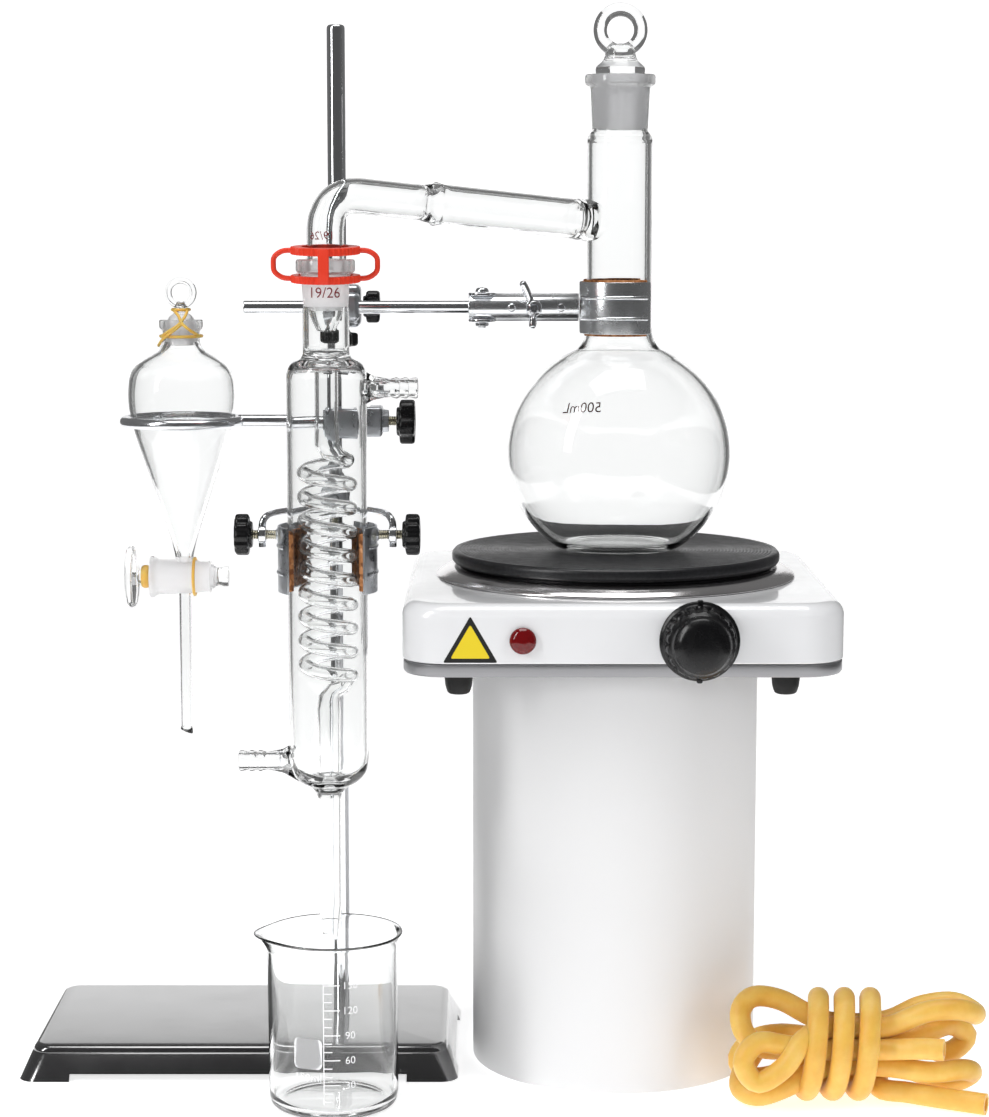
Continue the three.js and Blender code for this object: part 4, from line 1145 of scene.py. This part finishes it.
def build_condenser():
    place = (*CONDENSER, 0)
    centre = Vector(CONDENSER)
    outer = rounded([
        (0, 75.5), (3.1, 75.5, 0.5), (5.4, 92, 6), (5.5, 143.2, 2), (8.6, 146.6, 2), (13.4, 148.8, 3),
        (16.9, 153, 3),
        (17.8, 159, 3), (17.8, 331.5, 2), (15.8, 336, 2), (11.4, 337.8, 1.5), (10.25, 340, 1),
        (10.25, 359, 1),
        (9.9, 360.6, 1), (10.7, 374.6, 1), (13.1, 376, 1), (13.1, 381.5, 1.4), (0, 381.5),
    ], 6)
    jacket = revolve("condenser_shell", outer, GLASS, place, segments=96)
    combine(jacket, [barb("barb_out", 1, 325), barb("barb_in", -1, 158)], "UNION")
    water = revolve("water", rounded([
        (0, 149.4), (6.6, 149.6, 1), (11.6, 151.4, 3), (15.3, 155, 3), (16.2, 160, 3), (16.2, 330.8, 2),
        (14.2, 334.2, 2), (0, 334.7),
    ]), GLASS, place, segments=96)
    throat = revolve("throat", rounded([
        (0, 336.4), (3.4, 336.6, 1), (8.0, 339.6, 2), (8.6, 343, 1), (8.6, 359, 1), (8.4, 361, 0.5),
        (9.2, 382), (0, 382),
    ]), GLASS, place, segments=72)
    neck = straight("neck_bore", (*CONDENSER, 333), (*CONDENSER, 340), 3.9, GLASS, 40, 0.0)
    drain = revolve("drain", [(0, 70), (2.2, 70), (4.2, 93), (4.3, 152), (0, 152)], GLASS, place, segments=40)
    bores = []
    for name, side, z in (("bore_out", 1, 325), ("bore_in", -1, 158)):
        start = Vector((*CONDENSER, z)) + Vector((side * 11, 0, 0))
        bores.append(straight(name, start, start + Vector((side * 32, 0, 0)), 2.9, GLASS, 28, 0.0))
    matrix = Matrix.Rotation(math.radians(24), 4, "Y")
    slant = slab("slant", (24, 24, 14), (0, 0, -7), GLASS, 0.0, (*CONDENSER, 77.2), matrix)
    combine(jacket, [water, throat, neck, drain, *bores, slant], "DIFFERENCE")
    paint(jacket, SOFT_FROST, lambda c: 360.8 < c.z < 378 and (c.xy - centre).length < 9.6)
    paint(jacket, FROSTED, lambda c: 360.8 < c.z < 374.4 and (c.xy - centre).length > 9.6)
    mark = label("joint_mark", "19/26", 6.5, RED_PRINT, 10.75, CONDENSER, 364.9, 0)
    put(merge(jacket, mark), "condenser_jacket")
    build_coil()


def build_coil():
    turns = 9.0
    top, bottom = 289.5, 193.0
    points = [Vector((0, 0, z)) for z in (334.0, 325, 315, 306, 301)]
    widths = [5.2, 5.2, 5.2, 5.3, 5.6]
    points += [Vector((1.5, 0.4, 297.5)), Vector((5.4, 1.2, 294.6))]
    widths += [5.0, 3.5]
    steps = int(turns * 40)
    for k in range(steps + 1):
        t = k / steps
        angle = math.radians(25) + 2 * math.pi * turns * t
        points.append(Vector((10.3 * math.cos(angle), 10.3 * math.sin(angle), top + 3 + (bottom - top) * t)))
        widths.append(3.2)
    points += [Vector((6.4, 8.2, 190.6)), Vector((1.8, 5.6, 188.6)), Vector((0.2, 1.6, 185.8)),
            Vector((0, 0.1, 181))]
    widths += [3.3, 3.9, 5.0, 5.4]
    points += [Vector((0, 0, z)) for z in (174, 166, 158, 148.6)]
    widths += [5.2, 5.2, 5.2, 5.2]
    outer = sweep("coil_tube", points, widths, COIL_GLASS, 20, bore=[w - 1.1 for w in widths],
            at=(*CONDENSER, 0))
    put(outer, "condenser_coil")


def build_clip():
    place = (*CONDENSER, 0)

    def ribs(r, z, angle):
        return r + 0.3 * math.cos(40 * angle) if r > 14.2 else r

    upper = revolve("joint_clip_ring", rounded([
        (10.6, 383.6), (15.0, 383.6, 0.5), (15.0, 387.0, 0.5), (10.6, 387.0), (10.6, 383.6),
    ])[:-1], RED_PLASTIC, place, segments=160, wave=ribs)
    lower = revolve("lower", rounded([
        (12.2, 371.3), (15.0, 371.3, 0.5), (15.0, 374.6, 0.5), (12.2, 374.6), (12.2, 371.3),
    ])[:-1], RED_PLASTIC, place, segments=160, wave=ribs)
    strut = slab("strut", (4.8, 1.6, 15.6), (0, -15.2, 379.2), RED_PLASTIC, 0.5, place)
    handles = []
    for side in (-1, 1):
        path = smooth_path([
            (side * 13, 0, 385.2), (side * 18.5, 0, 385.0), (side * 22.2, 0, 382.6), (side * 22.8, 0, 379.2),
            (side * 22.2, 0, 375.8), (side * 18.5, 0, 373.3), (side * 13, 0, 373.0),
        ], 0.8)
        handles.append(sweep(f"handle{side}", path, 1.2, RED_PLASTIC, 14, at=place))
    clip = merge(upper, lower, strut, *handles)
    pivot = Vector((*CONDENSER, 379.0)) * MM
    lean = Matrix.Translation(pivot) @ Matrix.Rotation(math.radians(3.0), 4, "X") @ Matrix.Translation(-pivot)
    clip.data.transform(lean)
    put(clip, "joint_clip")


# ---------------------------------------------------------------- condenser clamp and lower boss head
def build_condenser_clamp():
    x, y = CONDENSER
    rod_y = ROD[1]
    place = (x, y, 0)
    bend = smooth_path([
        (-29, 0.4, 254.5), (-29, 0.4, 264), (-27.5, 2.6, 267.6), (-24.5, 14, YOKE_Z), (-15, 27, YOKE_Z),
        (0, 34.5, YOKE_Z), (15, 27, YOKE_Z), (24.5, 14, YOKE_Z), (27.5, 2.6, 267.6), (29, 0.4, 264),
        (29, 0.4, 254.5),
    ], 1.2)
    wire = sweep("clamp_yoke_wire", bend, 1.6, BRIGHT_STEEL, 20, at=place)
    shank = straight("shank", (x, y + 33, YOKE_Z), (x, rod_y - 10, YOKE_Z), 3.0, BRIGHT_STEEL)
    bores = []
    for k, side in enumerate((-1, 1)):
        profile = rounded([(0, 27.2), (3.9, 27.2, 0.6), (3.9, 30.6, 0.6), (0, 30.6)])
        eye = revolve(f"eye{k}", profile, BRIGHT_STEEL, (x, y, CLAMP_Z), (side, 0, 0), 36)
        combine(wire, [eye], "UNION")
        bores.append(straight(f"bore{k}", (x + side * 24, y, CLAMP_Z), (x + side * 40, y, CLAMP_Z), 2.5,
                BRIGHT_STEEL, 28, 0))
    combine(wire, bores, "DIFFERENCE")
    put(merge(wire, shank), "condenser_clamp_yoke")
    for name, side in (("left_jaw", -1), ("right_jaw", 1)):
        middle = 8 if side > 0 else 172
        shell = jaw_plate(name + "_press", middle, CONDENSER, 20.9, 22.1, 47, 234.8, 264.2, CAST_ZINC)
        boss = rivet("seat", (x + side * 22.0, y, CLAMP_Z), (side, 0, 0), 3.4, CAST_ZINC)
        put(merge(shell, boss), name)
        put(arc_plate(name + "_pad", 18.1, 20.6, middle, 45.5, 236, 261.5, CORK, CONDENSER, 36, 0.5),
                name + "_cork")
        tip = (x + side * 22.6, y, CLAMP_Z)
        put(threaded(name + "_thread", tip, (side, 0, 0), 16.6, 2.2), name + "_screw")
        mouth = (x + side * 33.2, y, CLAMP_Z)
        put(thumb_knob(name + "_grip", mouth, (side, 0, 0), 9.2, 8, 2.2, 12, 1.1), name + "_knob")
    build_lower_boss(x, rod_y)


def build_lower_boss(x, rod_y):
    z = YOKE_Z
    block = slab("lower_boss_casting", (20, 20, 18), (0, 0, 0), CAST_ZINC, 2.6, (x, rod_y, z))
    nose = slab("nose", (16, 20, 14.5), (0, -17, 0), CAST_ZINC, 2.4, (x, rod_y, z))
    combine(block, [nose], "UNION")
    cutters = [
        straight("rod_hole", (x, rod_y, z - 14), (x, rod_y, z + 14), 4.6, CAST_ZINC, 40, 0.0),
        straight("arm_hole", (x, rod_y - 30, z), (x, rod_y - 9.5, z), 3.3, CAST_ZINC, 32, 0.0),
        straight("back_hole", (x, rod_y, z), (x, rod_y + 14, z), 2.6, CAST_ZINC, 24, 0.0),
        straight("low_hole", (x, rod_y - 19, z - 12), (x, rod_y - 19, z), 2.6, CAST_ZINC, 24, 0.0),
    ]
    put(combine(block, cutters, "DIFFERENCE"), "lower_boss_head")
    put(threaded("lower_rod_thread", (x, rod_y + 4.6, z), (0, 1, 0), 14, 2.3), "lower_boss_rod_screw")
    put(thumb_knob("lower_rod_grip", (x, rod_y + 12.6, z), (0, 1, 0), 10.5, 8, 2.3), "lower_boss_rod_knob")
    put(threaded("lower_arm_thread", (x, rod_y - 19, z - 3.3), (0, 0, -1), 14, 2.3), "lower_boss_arm_screw")
    put(thumb_knob("lower_arm_grip", (x, rod_y - 19, z - 11.3), (0, 0, -1), 10.5, 8, 2.3),
            "lower_boss_arm_knob")


# ---------------------------------------------------------------- beaker
def build_beaker():
    place = (*BEAKER, 0)

    def spout(r, z, angle):
        lift = max(0.0, (z - 68) / 12)
        lean = math.cos(angle - math.radians(188))
        return r + 4.6 * lift ** 2 * max(0.0, lean) ** 14 - 0.5 * lift * (max(0.0, lean) ** 3 - max(0.0,
                lean) ** 14)

    cup = revolve("beaker_glass", rounded([
        (0, 0.9), (20, 0.5, 4), (25, 0, 1.5), (28.4, 1.0, 2), (29.3, 5, 3), (29.3, 74, 4), (30.4, 78.2, 1.2),
        (31.6, 79.2, 0.7), (31.2, 80.0, 0.6), (29.0, 79.0, 1.2), (27.7, 74.6, 4), (27.7, 6, 3),
        (25.6, 2.8, 2.5), (0, 2.4),
    ], 6), GLASS, place, segments=112, wave=spout)
    radius = 29.36
    prints = [wrapped_patch("scale_line", 0.5, 58, radius, WHITE_PRINT, BEAKER, 37, -5.3)]
    for volume in range(10, 160, 10):
        z = 5.6 + 0.38 * volume
        wide = 7.4 if volume % 30 == 0 else 3.8
        middle = -5.3 + math.degrees(wide / 2 / radius)
        prints.append(wrapped_patch(f"tick{volume}", wide, 0.55, radius, WHITE_PRINT, BEAKER, z, middle))
        if volume % 30 == 0:
            prints.append(label(f"number{volume}", str(volume), 4.8, WHITE_PRINT, radius, BEAKER, z - 1.7,
                    18))
    prints.append(wrapped_patch("label_field", 13.6, 14, radius, WHITE_PRINT, BEAKER, 31, -20, 2.4))
    prints.append(label("volume", "150ml", 5.4, WHITE_PRINT, radius, BEAKER, 18.4, -20))
    put(merge(cup, *prints), "beaker")


# ---------------------------------------------------------------- hot plate and plinth
def sticker(name, width, height, proud, material, at):
    """A plain triangle with rounded corners on the front face."""
    corners = [Vector((-width / 2, 0)), Vector((width / 2, 0)), Vector((0, height))]
    outline = []
    for k, corner in enumerate(corners):
        back = (corners[k - 1] - corner).normalized() * 1.1
        ahead = (corners[(k + 1) % 3] - corner).normalized() * 1.1
        for step in range(5):
            t = step / 4
            point = (corner + back) * (1 - t) ** 2 + corner * (2 * t * (1 - t)) + (corner + ahead) * t ** 2
            outline.append((point.x, point.y))
    matrix = Matrix.Rotation(math.radians(90), 4, "X")
    return plate(name, outline, proud, material, 0.0, at, matrix)


def build_hotplate():
    x, y = HOT
    top = 231.7
    levels = [(195.0, 199.0, 19.6, 205.6), (196, 200, 20, 206.2)] + turned_level(196, 200, 20, top, 6.5,
            6.5, 9)
    shell = stacked("hotplate_case", levels, WHITE_ENAMEL, (x, y, 0), 24.0)
    hollow = stacked("hollow", [(192, 196, 18, 203), (192, 196, 18, 225), (187, 191, 16, 229.4)],
            WHITE_ENAMEL, (x, y, 0))
    front = y - 100
    cutters = [
        hollow,
        straight("plate_hole", (x, y, top - 6), (x, y, top + 4), 76.5, WHITE_ENAMEL, 96, 0.0),
        straight("knob_hole", (x + 32.6, front - 2, 216), (x + 32.6, front + 8, 216), 3.4, WHITE_ENAMEL,
        28, 0.0),
        straight("lamp_hole", (x - 44.6, front - 2, 216), (x - 44.6, front + 8, 216), 5.2, WHITE_ENAMEL,
        32, 0.0),
        straight("cord_hole", (x + 60, y + 92, 216), (x + 60, y + 102, 216), 4.4, WHITE_ENAMEL, 28, 0.0),
    ]
    combine(shell, cutters, "DIFFERENCE")
    stickers = [
        sticker("triangle_edge", 24.0, 20.7, 0.06, BLACK_PRINT, (20.4, front, 206.2)),
        sticker("triangle_face", 17.4, 15.0, 0.12, YELLOW_PRINT, (20.4, front, 208.1)),
    ]
    put(merge(shell, *stickers), "hotplate_shell")
    band = stacked("hotplate_pan", [
        (190, 194, 17, 199.3), (193.5, 197.5, 18.5, 199.5), (195, 199, 19.2, 200.6),
        (195, 199, 19.2, 204.6), (193.6, 197.6, 18.6, 205.3),
    ], BRUSHED_BAND, (x, y, 0))
    well = stacked("well", [(190, 194, 17, 200.9), (190, 194, 17, 207)], BRUSHED_BAND, (x, y, 0))
    put(combine(band, [well], "DIFFERENCE"), "hotplate_bottom")
    put(revolve("drip_ring_dish", rounded([
        (73.6, 222.6), (75.4, 222.6, 0.5), (75.9, 231.9, 0.5), (84.1, 232.0, 0.3), (84.0, 232.7, 0.4),
        (82.4, 234.2, 2),
        (79.2, 236.0, 2), (76.2, 236.9, 1), (73.6, 236.6, 0.4), (73.6, 222.6),
    ])[:-1], DISH, (x, y, 0), segments=192), "drip_ring")
    groove_profile = []
    outermost_groove, innermost_groove, groove_pitch = 74.0, 5.0, 1.6
    r = outermost_groove
    while r > innermost_groove:
        groove_profile += [(r, 244.0), (r - 0.45, 243.98), (r - 0.8, 243.62), (r - 1.15, 243.98)]
        r -= groove_pitch
    put(revolve("heating_plate_iron", rounded([
        (0, 225), (64, 225, 1), (72.4, 231, 2), (72.4, 237.6, 0.5), (75.8, 238, 0.8), (77, 239.6, 1),
        (77, 242.6, 1.0),
        (75.8, 244, 1.0),
    ]) + groove_profile + [(0, 243.9)], IRON, (x, y, 0), segments=192, sharp=60.0), "heating_plate")
    build_controls(x, front)
    for name, dx, dy in (("front_left", -73, -76), ("front_right", 73, -76), ("rear_left", -73, 76),
            ("rear_right", 73, 76)):
        foot = revolve(f"rubber_foot_{name}", rounded([
            (0, 188.2), (2.4, 188.2, 0.4), (4.9, 188.6, 1.4), (6.0, 192, 1.0), (6.7, 199.2, 0.3), (0, 199.2),
        ]), BLACK_RUBBER, (x + dx, y + dy, 0), segments=40)
        put(foot, f"foot_{name}")
    put(revolve("plinth_drum", rounded([
        (64.3, 0), (66.9, 0, 0.4), (67.3, 0.6, 0.4), (67.3, 198.8, 0.5), (66.5, 199.2, 0.5), (0, 199.2),
        (0, 196.2), (64.3, 196.2, 1),
        (64.3, 0),
    ])[:-1], WHITE_BOARD, (x, y, 0), segments=160), "plinth")


def build_controls(x, front):
    def fluted(r, z, angle):
        if 4.2 < z < 13.6 and r > 14:
            return r - 1.2 * (0.5 - 0.5 * math.cos(17 * angle)) ** 3
        return r

    dial = revolve("heat_knob_dial", [(0, 14.4), (3.3, 14.4)] + rounded([
        (3.3, 0.6), (17.3, 0.6, 0.3), (17.75, 1.4, 0.4), (17.6, 2.4, 0.4), (16.1, 3.4, 0.6), (15.5, 5.2, 0.6),
        (15.0, 13.2, 0.8), (13.4, 14.7, 0.6), (12.9, 15.6, 0.6), (12.4, 17.6, 2), (9.2, 20.2, 4), (0, 21.2),
    ], 6), BLACK_PLASTIC, (x + 32.6, front, 216), (0, -1, 0), 144, fluted, 30.0)
    bumps = []
    for k, dz in enumerate((16.6, -16.6)):
        bumps.append(slab(f"bump{k}", (2.6, 2.2, 3.6), (0, -2.8, dz), BLACK_PLASTIC, 0.7,
                (x + 32.6, front, 216)))
    put(merge(dial, *bumps), "heat_knob")
    lamp = revolve("pilot_lens", rounded([
        (0, -7), (4.8, -7), (4.8, 0.3), (5.9, 0.4, 0.2), (5.9, 1.4, 0.5), (4.7, 2.9, 1.4), (2.4, 4, 1),
        (0, 4.2),
    ]), RED_LENS, (x - 44.6, front, 216), (0, -1, 0), 56)
    put(lamp, "pilot_lamp")
    gland = revolve("cord_gland_collar", rounded([
        (0, -7), (4, -7), (4, 0.4), (7, 0.4, 0.3), (7, 3, 0.8), (5, 8.8, 0.6), (0, 9.0),
    ]), BLACK_PLASTIC, (x + 60, front + 200, 216), (0, 1, 0), 48)
    put(gland, "cord_gland")


# ---------------------------------------------------------------- making it all
def dress_cad(node, material):
    obj = frame["nodes"][node]
    obj.data.materials.clear()
    obj.data.materials.append(material)


def build_floor():
    verts = []
    faces = []
    profile = [(-0.9, 0.0), (1.9, 0.0)]
    turns = [math.pi / 2 * k / 12 for k in range(1, 13)]
    profile += [(1.9 + 0.5 * math.sin(a), 0.5 - 0.5 * math.cos(a)) for a in turns]
    profile.append((2.4, 0.95))
    for y, z in profile:
        half = 0.58 + 0.12 * max(0.0, y)
        verts += [(-half, y, z), (half, y, z)]
    for k in range(len(profile) - 1):
        faces.append((2 * k, 2 * k + 1, 2 * k + 3, 2 * k + 2))
    paper = new_material("studio_paper", Base_Color=(0.86, 0.86, 0.865), Emission_Color=(1.0, 1.0, 1.0),
            Emission_Strength=0.66)
    vary_roughness(paper, 14.0, 0.75, 0.9)
    mesh = bpy.data.meshes.new("studio_floor")
    mesh.from_pydata(verts, [], faces)
    for face in mesh.polygons:
        face.use_smooth = True
    mesh.materials.append(paper)
    floor = bpy.data.objects.new("studio_floor", mesh)
    bpy.context.scene.collection.objects.link(floor)
    floor.location.z = -0.0002


build_hose()
build_stand()
build_ring()
build_funnel()
build_upper_boss()
build_flask_clamp()
build_flask()
build_flask_stopper()
build_condenser()
build_clip()
build_condenser_clamp()
build_beaker()
build_hotplate()
dress_cad("rod_nut", BRIGHT_STEEL)
dress_cad("thermostat", BRIGHT_STEEL)
build_floor()
